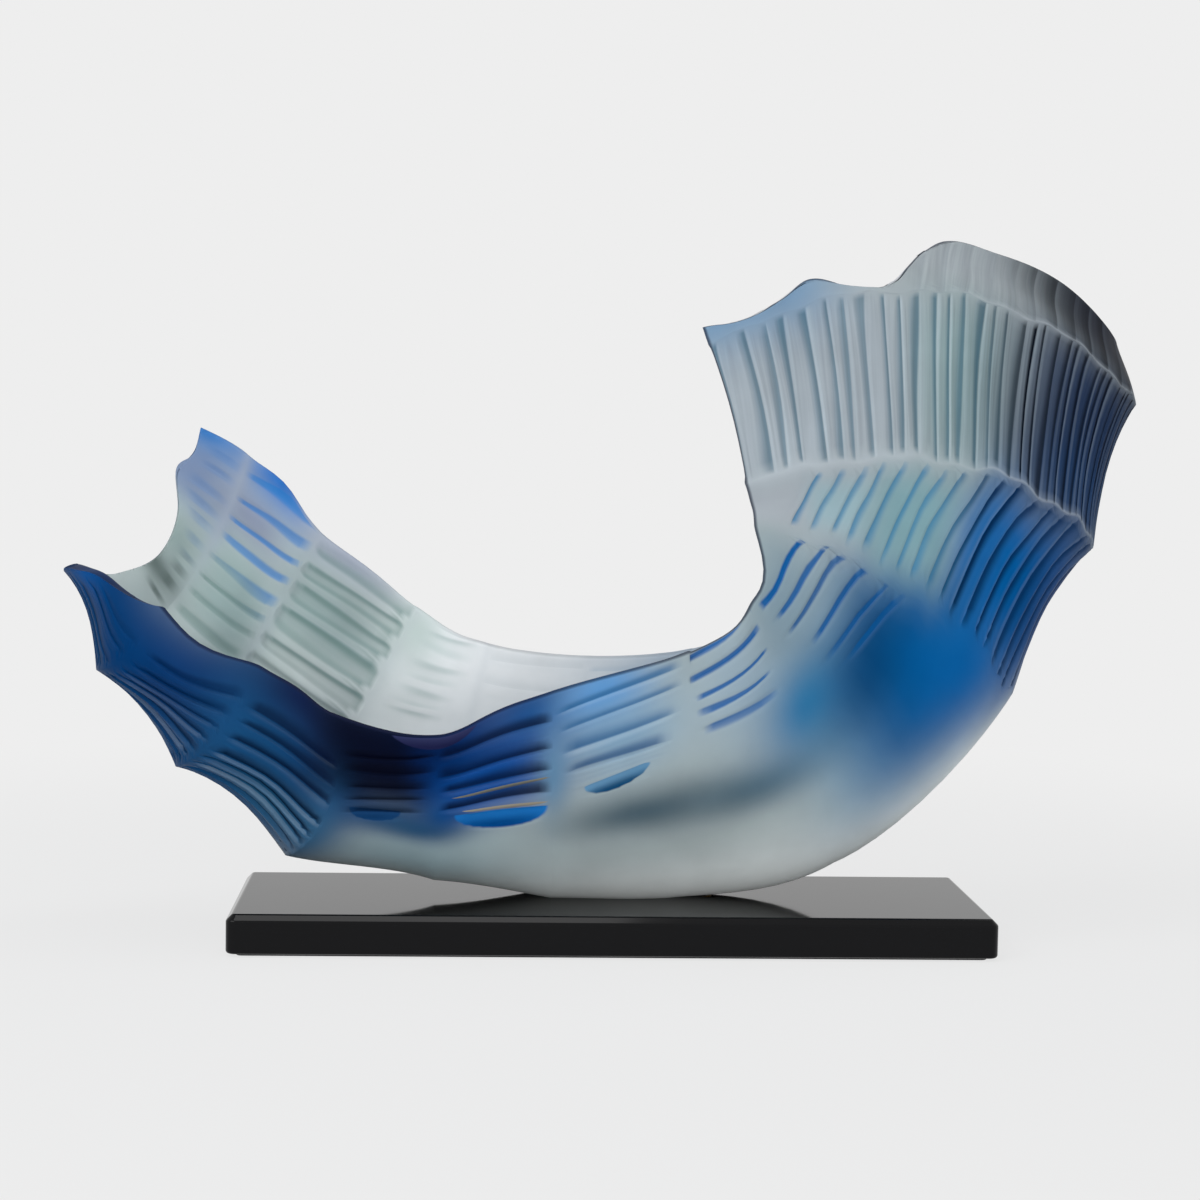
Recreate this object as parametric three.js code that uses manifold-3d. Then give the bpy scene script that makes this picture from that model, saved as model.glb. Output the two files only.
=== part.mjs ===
// Abstract resin sculpture: a ridged and fluted shell of cast resin, screwed down on a black plinth.
// Millimetres, +Z up, +X to the viewer's right, +Y away. The origin is the middle of the felt's underside.
import * as THREE from "three";
import { mergeVertices } from "three/addons/utils/BufferGeometryUtils.js";
import Module from "manifold-3d";

const wasm = await Module();
wasm.setup();

// Plinth and felt
const PLINTH_LENGTH = 390;
const PLINTH_DEPTH = 130;
const PLINTH_THICKNESS = 20;
const PLINTH_CORNER_RADIUS = 5;
const PLINTH_TOP_BEVEL = 3.3;
const PLINTH_FOOT_BEVEL = 1;
const FELT_THICKNESS = 1.5;
const FELT_INSET = 5;

// Fixings: two socket head screws, each with a washer, into inserts cast in the shell
const SCREW_SPACING = 80;
const SCREW_MIDDLE_X = 10;
const SCREW_Y = 5;
const SCREW_DIAMETER = 6;
const SCREW_LENGTH = 25;
const HEAD_DIAMETER = 10;
const HEAD_HEIGHT = 6;
const SOCKET_WIDTH = 5;
const SOCKET_DEPTH = 3;
const WASHER_DIAMETER = 12;
const WASHER_THICKNESS = 1.6;
const COUNTERBORE_DEPTH = 9.5;
const COUNTERBORE_ROOM = 1;
const INSERT_LENGTH = 12;
const INSERT_WALL = 1.4;
const INSERT_RECESS = 0.5;
const INSERT_GROOVE_DEPTH = 0.5;
const TIP_ROOM = 2;
const FIT_CLEARANCE = 0.3;
const ROUND_SEGMENTS = 24;

// Overall size of the shell
const SHELL_LENGTH = 557;
const SHELL_DEPTH = 150;
const SHELL_HEIGHT = 343.5;

// Shell walls: thin at the rims, thicker below them, and solid under the belly where the inserts sit
const RIM_WALL = 4;
const BODY_WALL = 7;
const KEEL_WALL = 8;
const POCKET_COVER = 6;

// Flutes run along each bay between two ridges, side by side round the girth
const FLUTE_PITCH = 10.5;
const FLUTE_DEPTH = 2;
const FRONT_ROUNDNESS = 2.3;
const BACK_ROUNDNESS = 2.2;

// Cross-sections of the shell at its ridges, from the left tip to the top of the fin on the right, in hundredths
// of the shell's length, depth and height. Heights are above the plinth, and the keel dips below it where the
// belly is flat. The arch is how far a ridge bows along the shell, front and back, in hundredths of its length.
const SECTIONS = [
  { keel: [-51.3, 5.3, 48.8], front: [-44.2, -30.7, 57.8], back: [-41.8, 40, 72.1], arch: [-1.1, 1.4] },
  { keel: [-48.1, 5.3, 33.9], front: [-40.8, -38.7, 44.1], back: [-35.2, 44, 66.2], arch: [1.1, 2.2] },
  { keel: [-40.8, 4.7, 19.4], front: [-31.8, -44, 36], back: [-28, 46.7, 54], arch: [1.1, 0] },
  { keel: [-30.5, 4, 6], front: [-25.3, -46.7, 29.5], back: [-18.5, 46.7, 42.4], arch: [2.5, 0] },
  { keel: [-16.5, 3.3, 1.6], front: [-16, -46.7, 26.7], back: [-11.5, 45.3, 36.8], arch: [0, 0] },
  { keel: [-5.6, 3.3, -0.4], front: [-5.9, -46.7, 33.3], back: [-1.6, 44, 35.1], arch: [0, 0] },
  { keel: [5.4, 3.3, -0.4], front: [6.3, -45.3, 39.4], back: [8.4, 42.7, 36.5], arch: [0.4, 0] },
  { keel: [21.2, 3.3, 5.2], front: [11.5, -44, 45.9], back: [14.4, 42.7, 41.5], arch: [1.4, 0.7] },
  { keel: [37.7, 2.7, 31.3], front: [11.8, -44, 57.8], back: [18, 44, 50.8], arch: [2.9, 1.8] },
  { keel: [45.2, 1.3, 54.6], front: [10.8, -45.3, 63.6], back: [18.9, 46.7, 63.6], arch: [5.4, 3.6] },
  { keel: [48.7, 0, 75.8], front: [7.1, -49.3, 83.4], back: [16.3, 50.7, 78.7], arch: [7.5, 5.4] },
  { keel: [47.8, 0, 88.9], front: [6.1, -50.7, 86.6], back: [15.4, 52, 83.4], arch: [9, 6.1] },
];

// Bays between the ridges: how far each sinks between its two ridges and the share of that which is gone at the
// rims, where its flutes start and stop as shares of the girth from the rim, and how far its front and back rims
// draw in towards the keel.
const BAYS = [
  { sink: 6.5, fade: 1, fluted: [0.25, 1], draw: [0, 0] },
  { sink: 7.5, fade: 1, fluted: [0.15, 1], draw: [4.2, -4] },
  { sink: 10.5, fade: 1, fluted: [0.1, 1], draw: [-2, -2] },
  { sink: 4, fade: 1, fluted: [0.04, 0.42], draw: [0, 1] },
  { sink: 1.5, fade: 1, fluted: [0.04, 0.46], draw: [-2.5, 0] },
  { sink: 1.2, fade: 1, fluted: [0.03, 0.38], draw: [0, 0] },
  { sink: 0, fade: 1, fluted: [0.02, 0.32], draw: [0, 0] },
  { sink: -3.5, fade: 1, fluted: [0.02, 0.4], draw: [6.5, 0] },
  { sink: 9.5, fade: 0.7, fluted: [0.08, 1], draw: [0, 0] },
  { sink: 7, fade: 0.5, fluted: [0.02, 1], draw: [2, 0] },
  { sink: 7.5, fade: 0.5, fluted: [0.25, 1], draw: [0, 0] },
];

// The fin's top edge cuts the last bay short: its far ridge would be this many of the bay's lengths along
const LAST_BAY_SPAN = 1.7;

// Wavy free ends: pairs of girth (-1 front rim, 0 keel, 1 back rim) and the share of the end bay that is there
const LEFT_EDGE = [
  [-1, 0.05], [-0.86, 0.38], [-0.71, 0.65], [-0.48, 0.87], [0, 1], [0.3, 0.69], [0.52, 0.44], [0.68, 0.53],
  [0.8, 0.77], [0.9, 0.67], [1, 0.71],
];
const RIGHT_EDGE = [
  [-1, 0.34], [-0.95, 0.11], [-0.9, 0.08], [-0.86, 0.1], [-0.8, 0.2], [-0.73, 0.08], [-0.69, 0.03], [-0.63, 0.12],
  [-0.55, 0.58], [-0.51, 0.74], [-0.4, 0.8], [-0.25, 0.85], [-0.1, 0.78], [0, 0.74], [0.25, 0.7], [0.45, 0.85],
  [0.62, 0.3], [0.8, 0.75], [1, 0.55],
];

// Facets
const BAY_STEPS = [0, 0.1, 0.5, 0.9];
const GIRTH_STEPS = 48;
const OUTER_FLUTE_STEPS = 3;
const INNER_FLUTE_STEPS = 2;
const RIDGE_STEPS = 24;
const INNER_PLAIN_STRIDE = 2;

// Places worked out from the sizes
const PLINTH_FOOT_Z = FELT_THICKNESS;
const PLINTH_TOP_Z = PLINTH_FOOT_Z + PLINTH_THICKNESS;
const SCREW_XS = { left: SCREW_MIDDLE_X - SCREW_SPACING / 2, right: SCREW_MIDDLE_X + SCREW_SPACING / 2 };
const WASHER_TOP_Z = PLINTH_FOOT_Z + COUNTERBORE_DEPTH;
const HEAD_TOP_Z = WASHER_TOP_Z - WASHER_THICKNESS;
const INSERT_BORE_RADIUS = SCREW_DIAMETER / 2 + FIT_CLEARANCE;
const INSERT_RADIUS = INSERT_BORE_RADIUS + INSERT_WALL;
const INSERT_FOOT_Z = PLINTH_TOP_Z + INSERT_RECESS;
const SCREW_REACH = HEAD_TOP_Z + SCREW_LENGTH - PLINTH_TOP_Z;
const POCKET_DEPTH = Math.max(SCREW_REACH, INSERT_RECESS + INSERT_LENGTH) + TIP_ROOM;
const BELLY_WALL = POCKET_DEPTH + POCKET_COVER;
const LAST_BAY = BAYS.length - 1;

const { clamp, lerp, smoothstep } = THREE.MathUtils;

// Curves through the sections
const throughSections = (place, size) => {
  const points = SECTIONS.map((section) => new THREE.Vector3(...place(section)).multiply(size));
  return new THREE.CatmullRomCurve3(points, false, "catmullrom", 0.5);
};
const shellSize = new THREE.Vector3(SHELL_LENGTH, SHELL_DEPTH, SHELL_HEIGHT).divideScalar(100);
const archSize = new THREE.Vector3(SHELL_LENGTH, SHELL_LENGTH, 0).divideScalar(100);
const keelCurve = throughSections((section) => section.keel, shellSize);
const rimCurves = ["front", "back"].map((side) => throughSections((section) => section[side], shellSize));
const archCurve = throughSections((section) => [...section.arch, 0], archSize);

/** Smooth curve through the pairs of a table, kept between its lowest and highest value. */
function smoothCurve(table) {
  const places = table.map(([place]) => place);
  const values = table.map(([, value]) => value);
  const curve = new THREE.CubicInterpolant(places, values, 1, new Float64Array(1));
  return (place) => clamp(curve.evaluate(place)[0], Math.min(...values), Math.max(...values));
}
const leftShare = smoothCurve(LEFT_EDGE);
const rightShare = smoothCurve(RIGHT_EDGE);

/** Length coordinate with the end bays cut back to the wavy edges. */
function trimmed(length, girth) {
  if (length < 1) return 1 - (1 - length) * leftShare(girth);
  if (length > LAST_BAY) return LAST_BAY + (length - LAST_BAY) * rightShare(girth);
  return length;
}

/** Bay that a length coordinate is in, and how far along it, from 0 to 1. */
function bayAt(length) {
  const index = Math.min(LAST_BAY, Math.max(0, Math.floor(length)));
  return { index, along: length - index };
}

/** Point of the plain loft: a superellipse quarter from the keel to either rim, spaced evenly along its arc. */
function loftPoint(length, girth) {
  const at = length / BAYS.length;
  const side = girth < 0 ? 0 : 1;
  const keel = keelCurve.getPoint(at);
  const span = rimCurves[side].getPoint(at).sub(keel);
  const arch = archCurve.getPoint(at).getComponent(side);
  const forward = keelCurve.getTangent(at).setY(0).normalize();
  const power = 2 / (side === 0 ? FRONT_ROUNDNESS : BACK_ROUNDNESS);
  const points = [];
  const arcs = [0];
  for (let step = 0; step <= GIRTH_STEPS; step += 1) {
    const angle = (Math.PI / 2) * (step / GIRTH_STEPS);
    const out = Math.sin(angle) ** power;
    const up = 1 - Math.max(0, Math.cos(angle)) ** power;
    const point = new THREE.Vector3(up, out, up).multiply(span).add(keel);
    points.push(point.addScaledVector(forward, 4 * up * (1 - up) * arch));
    if (step > 0) arcs.push(arcs[step - 1] + point.distanceTo(points[step - 1]));
  }
  const wanted = Math.abs(girth) * arcs.at(-1);
  const next = Math.max(1, arcs.findIndex((arc) => arc >= wanted - 1e-9));
  const share = (wanted - arcs[next - 1]) / (arcs[next] - arcs[next - 1]);
  const point = points[next - 1].clone().lerp(points[next], share);
  const { index, along } = bayAt(length);
  const draw = BAYS[index].draw[side] * Math.sin(Math.PI * along) ** 2 * Math.abs(girth) ** 3;
  return point.addScaledVector(span.setY(0).normalize(), -draw);
}

/** Outward normal of the plain loft. */
function loftNormal(length, girth) {
  const [low, high] = [Math.max(0, length - 0.02), Math.min(BAYS.length, length + 0.02)];
  const [front, back] = [Math.max(-1, girth - 0.02), Math.min(1, girth + 0.02)];
  const along = loftPoint(high, girth).sub(loftPoint(low, girth));
  const across = loftPoint(length, back).sub(loftPoint(length, front));
  return across.cross(along).normalize();
}

/** Number of flutes side by side on one side of a bay. */
function fluteCount(index, side) {
  const middle = index + 0.5;
  const towards = side === 0 ? -1 : 1;
  let arc = 0;
  for (let step = 0; step < GIRTH_STEPS; step += 1) {
    const here = loftPoint(middle, (towards * step) / GIRTH_STEPS);
    arc += here.distanceTo(loftPoint(middle, (towards * (step + 1)) / GIRTH_STEPS));
  }
  return Math.max(2, Math.round(arc / FLUTE_PITCH));
}
const FLUTE_COUNTS = BAYS.map((_, index) => [fluteCount(index, 0), fluteCount(index, 1)]);

/** How strongly a place is fluted, from 0 to 1: round ends at the ridges and at the lowest flute. */
function fluteStrength(index, along, girth) {
  const [fromLeft, fromRight] = [index > 0 ? 1 - 2 * along : 0, index < LAST_BAY ? 2 * along - 1 : 0];
  const toRidge = Math.max(0, fromLeft, fromRight);
  const [start, stop] = BAYS[index].fluted;
  const down = 1 - Math.abs(girth);
  const toLowest = stop < 1 ? down / stop : 0;
  const outline = (toRidge ** 4 + toLowest ** 4) ** 0.25;
  return (1 - smoothstep(outline, 0.8, 0.98)) * smoothstep(down, start, start + 0.06);
}

/** How deep a bay sinks: a sharp ridge at the keel that softens and fades towards the rims. */
function hollow(index, along, girth) {
  const { sink, fade } = BAYS[index];
  const up = Math.abs(girth);
  const place = index === LAST_BAY ? along / LAST_BAY_SPAN : along;
  const sharp = 4 * place * (1 - place);
  const soft = Math.sin(Math.PI * place) ** 2;
  return sink * lerp(sharp, soft, fade * smoothstep(up, 0.25, 0.65)) * (1 - fade * smoothstep(up, 0.4, 0.95));
}

/** How far relief may build up, from 0 where an end bay is cut to a sliver to 1. */
function room(nominal, girth) {
  if (nominal < 1) return smoothstep(leftShare(girth), 0.1, 0.5);
  if (nominal > LAST_BAY) return smoothstep(rightShare(girth), 0.05, 0.4);
  return 1;
}

/** Height of the finished surface over the plain loft: the bay's hollow and its flutes' grooves. */
function relief(nominal, girth) {
  const { index, along } = bayAt(trimmed(nominal, girth));
  const count = FLUTE_COUNTS[index][girth < 0 ? 0 : 1];
  const crest = Math.abs(Math.sin(Math.PI * count * (1 - Math.abs(girth)))) ** 0.7;
  const strength = fluteStrength(index, bayAt(nominal).along, girth);
  return -room(nominal, girth) * (hollow(index, along, girth) + FLUTE_DEPTH * strength * (1 - crest));
}

/** Wall thickness. */
function wall(length, girth) {
  const up = Math.abs(girth);
  const side = lerp(lerp(RIM_WALL, BODY_WALL, smoothstep(1 - up, 0, 0.16)), KEEL_WALL, (1 - up) ** 2);
  const belly = smoothstep(length, 3.2, 4.6) * (1 - smoothstep(length, 6.8, 8.2));
  return lerp(side, BELLY_WALL, belly * (1 - smoothstep(up, 0.1, 0.45)));
}

/** Outer or inner face at a length and girth; the outer face is flat where it stands on the plinth. */
function shellPoint(nominal, girth, inside) {
  const length = trimmed(nominal, girth);
  const depth = relief(nominal, girth) - (inside ? wall(length, girth) : 0);
  const point = loftPoint(length, girth).addScaledVector(loftNormal(length, girth), depth);
  if (!inside) point.z = Math.max(0, point.z);
  return point;
}

/** Girth coordinates of the points on one line across the shell: denser over the flutes, even on a ridge. */
function girthStops(index, along, fluteSteps, plainStride) {
  if (along === 0 && index > 0) {
    return Array.from({ length: RIDGE_STEPS * 2 + 1 }, (_, step) => step / RIDGE_STEPS - 1);
  }
  const fromRims = [0, 1].map((side) => {
    const count = FLUTE_COUNTS[index][side];
    const stops = [];
    for (let flute = 0; flute < count; flute += 1) {
      const sign = side === 0 ? -1 : 1;
      const strength = fluteStrength(index, 0.5, sign * (1 - (flute + 0.5) / count));
      const plain = strength < 0.05;
      const steps = plain ? 1 : fluteSteps;
      const skipped = plain && flute % plainStride > 0;
      for (let step = 0; step < steps && !skipped; step += 1) {
        stops.push(sign * (1 - (flute + step / steps) / count));
      }
    }
    return stops;
  });
  return [...fromRims[0], 0, ...fromRims[1].reverse()];
}

/** Lines across one face of the shell, from the left end to the right end. */
function shellLines(inside, store) {
  const [steps, stride] = inside ? [INNER_FLUTE_STEPS, INNER_PLAIN_STRIDE] : [OUTER_FLUTE_STEPS, 1];
  const places = BAYS.flatMap((_, index) => BAY_STEPS.map((along) => ({ index, along })));
  places.push({ index: LAST_BAY, along: 1 });
  return places.map(({ index, along }) => {
    const girths = girthStops(index, along, steps, stride);
    const ids = girths.map((girth) => store.push(shellPoint(index + along, girth, inside)) - 1);
    return { girths, ids };
  });
}

/** Triangles between two lines of points, taking the next point of whichever line lags. */
function zip(first, second, triangles) {
  let [i, j] = [0, 0];
  while (i < first.ids.length - 1 || j < second.ids.length - 1) {
    const firstNext = first.girths[i + 1] ?? Infinity;
    const secondNext = second.girths[j + 1] ?? Infinity;
    if (firstNext <= secondNext) {
      triangles.push(first.ids[i], first.ids[i + 1], second.ids[j]);
      i += 1;
    } else {
      triangles.push(first.ids[i], second.ids[j + 1], second.ids[j]);
      j += 1;
    }
  }
}

/** Closed skin of the shell: both faces, the two rims and the two wavy ends. */
function shellGeometry() {
  const points = [];
  const triangles = [];
  const outer = shellLines(false, points);
  const inner = shellLines(true, points);
  for (let line = 0; line < outer.length - 1; line += 1) {
    zip(outer[line], outer[line + 1], triangles);
    zip(inner[line + 1], inner[line], triangles);
    const corners = [outer[line], outer[line + 1], inner[line + 1], inner[line]];
    const [a, b, c, d] = corners.map(({ ids }) => ids[0]);
    triangles.push(a, b, c, a, c, d);
    const [e, f, g, h] = corners.map(({ ids }) => ids.at(-1));
    triangles.push(e, g, f, e, h, g);
  }
  zip(inner[0], outer[0], triangles);
  zip(outer.at(-1), inner.at(-1), triangles);
  const geometry = new THREE.BufferGeometry().setFromPoints(points);
  geometry.setIndex(triangles);
  return geometry;
}

/** Solid for joining and cutting, from a closed geometry. */
function toSolid(geometry) {
  const bare = geometry.clone();
  bare.deleteAttribute("normal");
  bare.deleteAttribute("uv");
  const merged = mergeVertices(bare, 1e-4);
  const vertProperties = new Float32Array(merged.attributes.position.array);
  const triVerts = new Uint32Array(merged.index.array);
  return new wasm.Manifold(new wasm.Mesh({ numProp: 3, vertProperties, triVerts }));
}

/** Geometry with tools cut away. */
function cut(geometry, ...tools) {
  const solid = tools.reduce((rest, tool) => rest.subtract(toSolid(tool)), toSolid(geometry));
  const { vertProperties, triVerts } = solid.getMesh();
  const result = new THREE.BufferGeometry();
  result.setAttribute("position", new THREE.BufferAttribute(vertProperties, 3));
  result.setIndex(new THREE.BufferAttribute(triVerts, 1));
  return result;
}

/** Upright cylinder between two heights; six segments make a hexagon of that radius over its corners. */
function post(radius, foot, top, x, y, segments = ROUND_SEGMENTS) {
  const geometry = new THREE.CylinderGeometry(radius, radius, top - foot, segments);
  return geometry.rotateX(Math.PI / 2).translate(x, y, (foot + top) / 2);
}

/** Turned piece about +Z from a profile of radius and height pairs. */
function turned(profile) {
  const points = profile.map(([radius, height]) => new THREE.Vector2(radius, height));
  return new THREE.LatheGeometry(points, ROUND_SEGMENTS).rotateX(Math.PI / 2);
}

/** Points round a rectangle with round corners, set in from the plinth's outline. */
function slabOutline(inset) {
  const radius = Math.max(1, PLINTH_CORNER_RADIUS - inset);
  const [x, y] = [PLINTH_LENGTH / 2 - inset - radius, PLINTH_DEPTH / 2 - inset - radius];
  const outline = new THREE.Path();
  outline.absarc(x, y, radius, 0, Math.PI / 2);
  outline.absarc(-x, y, radius, Math.PI / 2, Math.PI);
  outline.absarc(-x, -y, radius, Math.PI, Math.PI * 1.5);
  outline.absarc(x, -y, radius, Math.PI * 1.5, Math.PI * 2);
  return outline.getPoints(6);
}

/** Slab lofted through levels, each a height and an inset from the plinth's outline. */
function slab(levels) {
  const rings = levels.map(([height, inset]) =>
    slabOutline(inset).map((point) => new THREE.Vector3(point.x, point.y, height)),
  );
  const size = rings[0].length;
  const triangles = [];
  for (let ring = 0; ring < rings.length - 1; ring += 1) {
    for (let corner = 0; corner < size; corner += 1) {
      const [a, b] = [ring * size + corner, ring * size + ((corner + 1) % size)];
      triangles.push(a, b, b + size, a, b + size, a + size);
    }
  }
  const top = (rings.length - 1) * size;
  for (let corner = 1; corner < size - 1; corner += 1) {
    triangles.push(0, corner + 1, corner, top, top + corner, top + corner + 1);
  }
  const geometry = new THREE.BufferGeometry().setFromPoints(rings.flat());
  geometry.setIndex(triangles);
  return geometry;
}

const resin = new THREE.MeshStandardMaterial({ color: "#5f86a8", roughness: 0.4 });
const blackAcrylic = new THREE.MeshStandardMaterial({ color: "#141416", roughness: 0.12 });
const felt = new THREE.MeshStandardMaterial({ color: "#1b1b1d", roughness: 0.95 });
const steel = new THREE.MeshStandardMaterial({ color: "#8f9296", roughness: 0.35, metalness: 1 });
const brass = new THREE.MeshStandardMaterial({ color: "#b08d4a", roughness: 0.35, metalness: 1 });

const sculpture = new THREE.Group();

function place(name, geometry, material, x = 0, y = 0, z = 0) {
  const mesh = new THREE.Mesh(geometry, material);
  mesh.name = name;
  mesh.position.set(x, y, z);
  sculpture.add(mesh);
}

/** Resin shell with a pocket for each insert, standing on the plinth. */
function addShell() {
  const pockets = Object.values(SCREW_XS).map((x) =>
    post(INSERT_RADIUS + FIT_CLEARANCE, -POCKET_DEPTH, POCKET_DEPTH, x, SCREW_Y),
  );
  place("resin_shell", cut(shellGeometry(), ...pockets), resin, 0, 0, PLINTH_TOP_Z);
}

/** Plinth with a bevelled top edge and a stepped hole for each screw. */
function addPlinth() {
  const block = slab([
    [0, PLINTH_FOOT_BEVEL],
    [PLINTH_FOOT_BEVEL, 0],
    [PLINTH_THICKNESS - PLINTH_TOP_BEVEL, 0],
    [PLINTH_THICKNESS, PLINTH_TOP_BEVEL],
  ]);
  const counterboreRadius = WASHER_DIAMETER / 2 + COUNTERBORE_ROOM;
  const holes = Object.values(SCREW_XS).flatMap((x) => [
    post(counterboreRadius, -COUNTERBORE_DEPTH, COUNTERBORE_DEPTH, x, SCREW_Y),
    post(INSERT_BORE_RADIUS, 0, PLINTH_THICKNESS * 2, x, SCREW_Y),
  ]);
  place("plinth", cut(block, ...holes), blackAcrylic, 0, 0, PLINTH_FOOT_Z);
}

/** Felt over the whole underside, clear of its edges. */
function addFelt() {
  place("felt_pad", slab([[0, FELT_INSET], [FELT_THICKNESS, FELT_INSET]]), felt);
}

/** Socket head screw, head down, with its shank's foot at the origin. */
function screwGeometry() {
  const [shank, head] = [SCREW_DIAMETER / 2, HEAD_DIAMETER / 2];
  const edge = 0.5;
  const body = turned([
    [0, -HEAD_HEIGHT],
    [head - edge, -HEAD_HEIGHT],
    [head, edge - HEAD_HEIGHT],
    [head, 0],
    [shank, 0],
    [shank, SCREW_LENGTH - edge],
    [shank - edge, SCREW_LENGTH],
    [0, SCREW_LENGTH],
  ]);
  const socketRadius = SOCKET_WIDTH / Math.sqrt(3);
  return cut(body, post(socketRadius, -HEAD_HEIGHT * 2, SOCKET_DEPTH - HEAD_HEIGHT, 0, 0, 6));
}

/** Flat ring with its top face at the origin. */
function washerGeometry() {
  const [inner, outer] = [INSERT_BORE_RADIUS, WASHER_DIAMETER / 2];
  return turned([
    [inner, -WASHER_THICKNESS],
    [outer, -WASHER_THICKNESS],
    [outer, 0],
    [inner, 0],
    [inner, -WASHER_THICKNESS],
  ]);
}

/** Insert with a groove round its middle that keys it into the resin, with its foot at the origin. */
function insertGeometry() {
  const [low, high] = [INSERT_LENGTH * 0.4, INSERT_LENGTH * 0.6];
  const waist = INSERT_RADIUS - INSERT_GROOVE_DEPTH;
  return turned([
    [INSERT_BORE_RADIUS, 0],
    [INSERT_RADIUS, 0],
    [INSERT_RADIUS, low],
    [waist, low + INSERT_GROOVE_DEPTH],
    [waist, high - INSERT_GROOVE_DEPTH],
    [INSERT_RADIUS, high],
    [INSERT_RADIUS, INSERT_LENGTH],
    [INSERT_BORE_RADIUS, INSERT_LENGTH],
    [INSERT_BORE_RADIUS, 0],
  ]);
}

function addFixings() {
  for (const [side, x] of Object.entries(SCREW_XS)) {
    place(`insert_${side}`, insertGeometry(), brass, x, SCREW_Y, INSERT_FOOT_Z);
    place(`screw_${side}`, screwGeometry(), steel, x, SCREW_Y, HEAD_TOP_Z);
    place(`washer_${side}`, washerGeometry(), steel, x, SCREW_Y, WASHER_TOP_Z);
  }
}

addShell();
addPlinth();
addFelt();
addFixings();

export default sculpture;
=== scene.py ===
"""Dressed model of an abstract sculpture: a fluted shell of tinted cast resin screwed to a black plinth."""

from __future__ import annotations

import logging
import math
from dataclasses import dataclass, fields
from enum import Enum
from typing import Any, Sequence

import bpy
import numpy as np
from mathutils import Matrix, Vector

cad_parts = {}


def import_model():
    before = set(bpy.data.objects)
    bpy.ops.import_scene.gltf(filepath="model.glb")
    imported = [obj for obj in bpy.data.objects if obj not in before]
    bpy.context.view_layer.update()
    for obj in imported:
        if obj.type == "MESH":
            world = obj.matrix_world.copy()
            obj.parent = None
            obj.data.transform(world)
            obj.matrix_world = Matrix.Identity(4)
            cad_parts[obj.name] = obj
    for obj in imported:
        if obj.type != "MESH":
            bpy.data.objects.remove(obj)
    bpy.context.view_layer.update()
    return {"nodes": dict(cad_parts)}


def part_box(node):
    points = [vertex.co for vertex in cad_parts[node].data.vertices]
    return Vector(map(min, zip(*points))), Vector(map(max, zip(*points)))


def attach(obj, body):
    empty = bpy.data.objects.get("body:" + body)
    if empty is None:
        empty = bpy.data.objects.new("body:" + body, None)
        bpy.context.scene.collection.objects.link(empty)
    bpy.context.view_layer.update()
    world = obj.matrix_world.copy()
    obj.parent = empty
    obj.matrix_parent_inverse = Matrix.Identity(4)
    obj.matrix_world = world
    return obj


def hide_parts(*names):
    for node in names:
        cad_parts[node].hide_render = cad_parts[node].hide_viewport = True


LOG = logging.getLogger("sculpture")
ROOT_BODY = "root"
SIDES = ("left", "right")
MM = 0.001
Array = np.ndarray
Point = tuple[float, float, float]
Span = tuple[float, float]
Range = tuple[float, float, float, float]
Faces = list[Sequence[int]]
Tree = bpy.types.NodeTree
Piece = bpy.types.Object


def linear(colour: str) -> Array:
    """Turn an sRGB hex colour into linear RGBA.

    Args:
        colour: Six hex digits after a hash sign.

    Returns:
        Linear red, green, blue and an alpha of 1.
    """
    coded = [int(colour[at:at + 2], 16) / 255 for at in (1, 3, 5)]
    plain = [part / 12.92 if part <= 0.04045 else ((part + 0.055) / 1.055) ** 2.4 for part in coded]
    return np.array([*plain, 1.0])


def add_node(tree: Tree, kind: str, inputs: dict[str, Any] | Sequence[Any] = (), **settings: Any) -> Any:
    """Add a node, set it and link it.

    Args:
        tree: Node tree that gets the node.
        kind: Blender's name for the node type, without its common start.
        inputs: A value, a socket, or a node for its first output, by name or in the order of the sockets.
        settings: Properties of the node itself.

    Returns:
        The new node.
    """
    node = tree.nodes.new("ShaderNode" + kind)
    for name, value in settings.items():
        setattr(node, name, value)
    if isinstance(inputs, dict):
        wanted = [(node.inputs[name], value) for name, value in inputs.items()]
    else:
        wanted = list(zip([socket for socket in node.inputs if socket.enabled], inputs))
    for socket, value in wanted:
        if isinstance(value, bpy.types.Node):
            value = next(output for output in value.outputs if output.enabled)
        if isinstance(value, bpy.types.NodeSocket):
            tree.links.new(value, socket)
        else:
            socket.default_value = value
    return node


def new_material(name: str) -> tuple[bpy.types.Material, Tree]:
    """Make an empty node material.

    Args:
        name: The material's name.

    Returns:
        The material and its node tree.
    """
    material = bpy.data.materials.new(name)
    material.use_nodes = True
    material.node_tree.nodes.clear()
    return material, material.node_tree


def smooth(low: Any, high: Any, value: Any) -> Array:
    """Rise smoothly from 0, where a value is at low, to 1, where it is at high."""
    share = np.clip((np.asarray(value) - low) / (np.asarray(high) - low), 0.0, 1.0)
    return share * share * (3 - 2 * share)


def window(rise: Span, fall: Span, value: Array) -> Array:
    """Rise smoothly from 0 to 1 over one span and fall back to 0 over another."""
    return smooth(*rise, value) * (1 - smooth(*fall, value))


def mix(first: Any, second: Any, share: Any) -> Array:
    """Blend two values by a share from 0 to 1."""
    return first + (second - first) * share


def unit(vectors: Array) -> Array:
    """Scale each row to length 1."""
    return vectors / np.maximum(np.linalg.norm(vectors, axis=-1, keepdims=True), 1e-9)


def per_mm(size: float) -> float:
    """Texture scale, in cycles per metre, for a pattern of a size in millimetres."""
    return 1 / (size * MM)


def scatter(count: Array, seed: float) -> Array:
    """Fixed scatter from 0 to 1 for whole numbers, which the seed shifts."""
    wave = np.sin(count * 12.9898 + seed * 78.233) * 43758.5453
    return wave - np.floor(wave)


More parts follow.
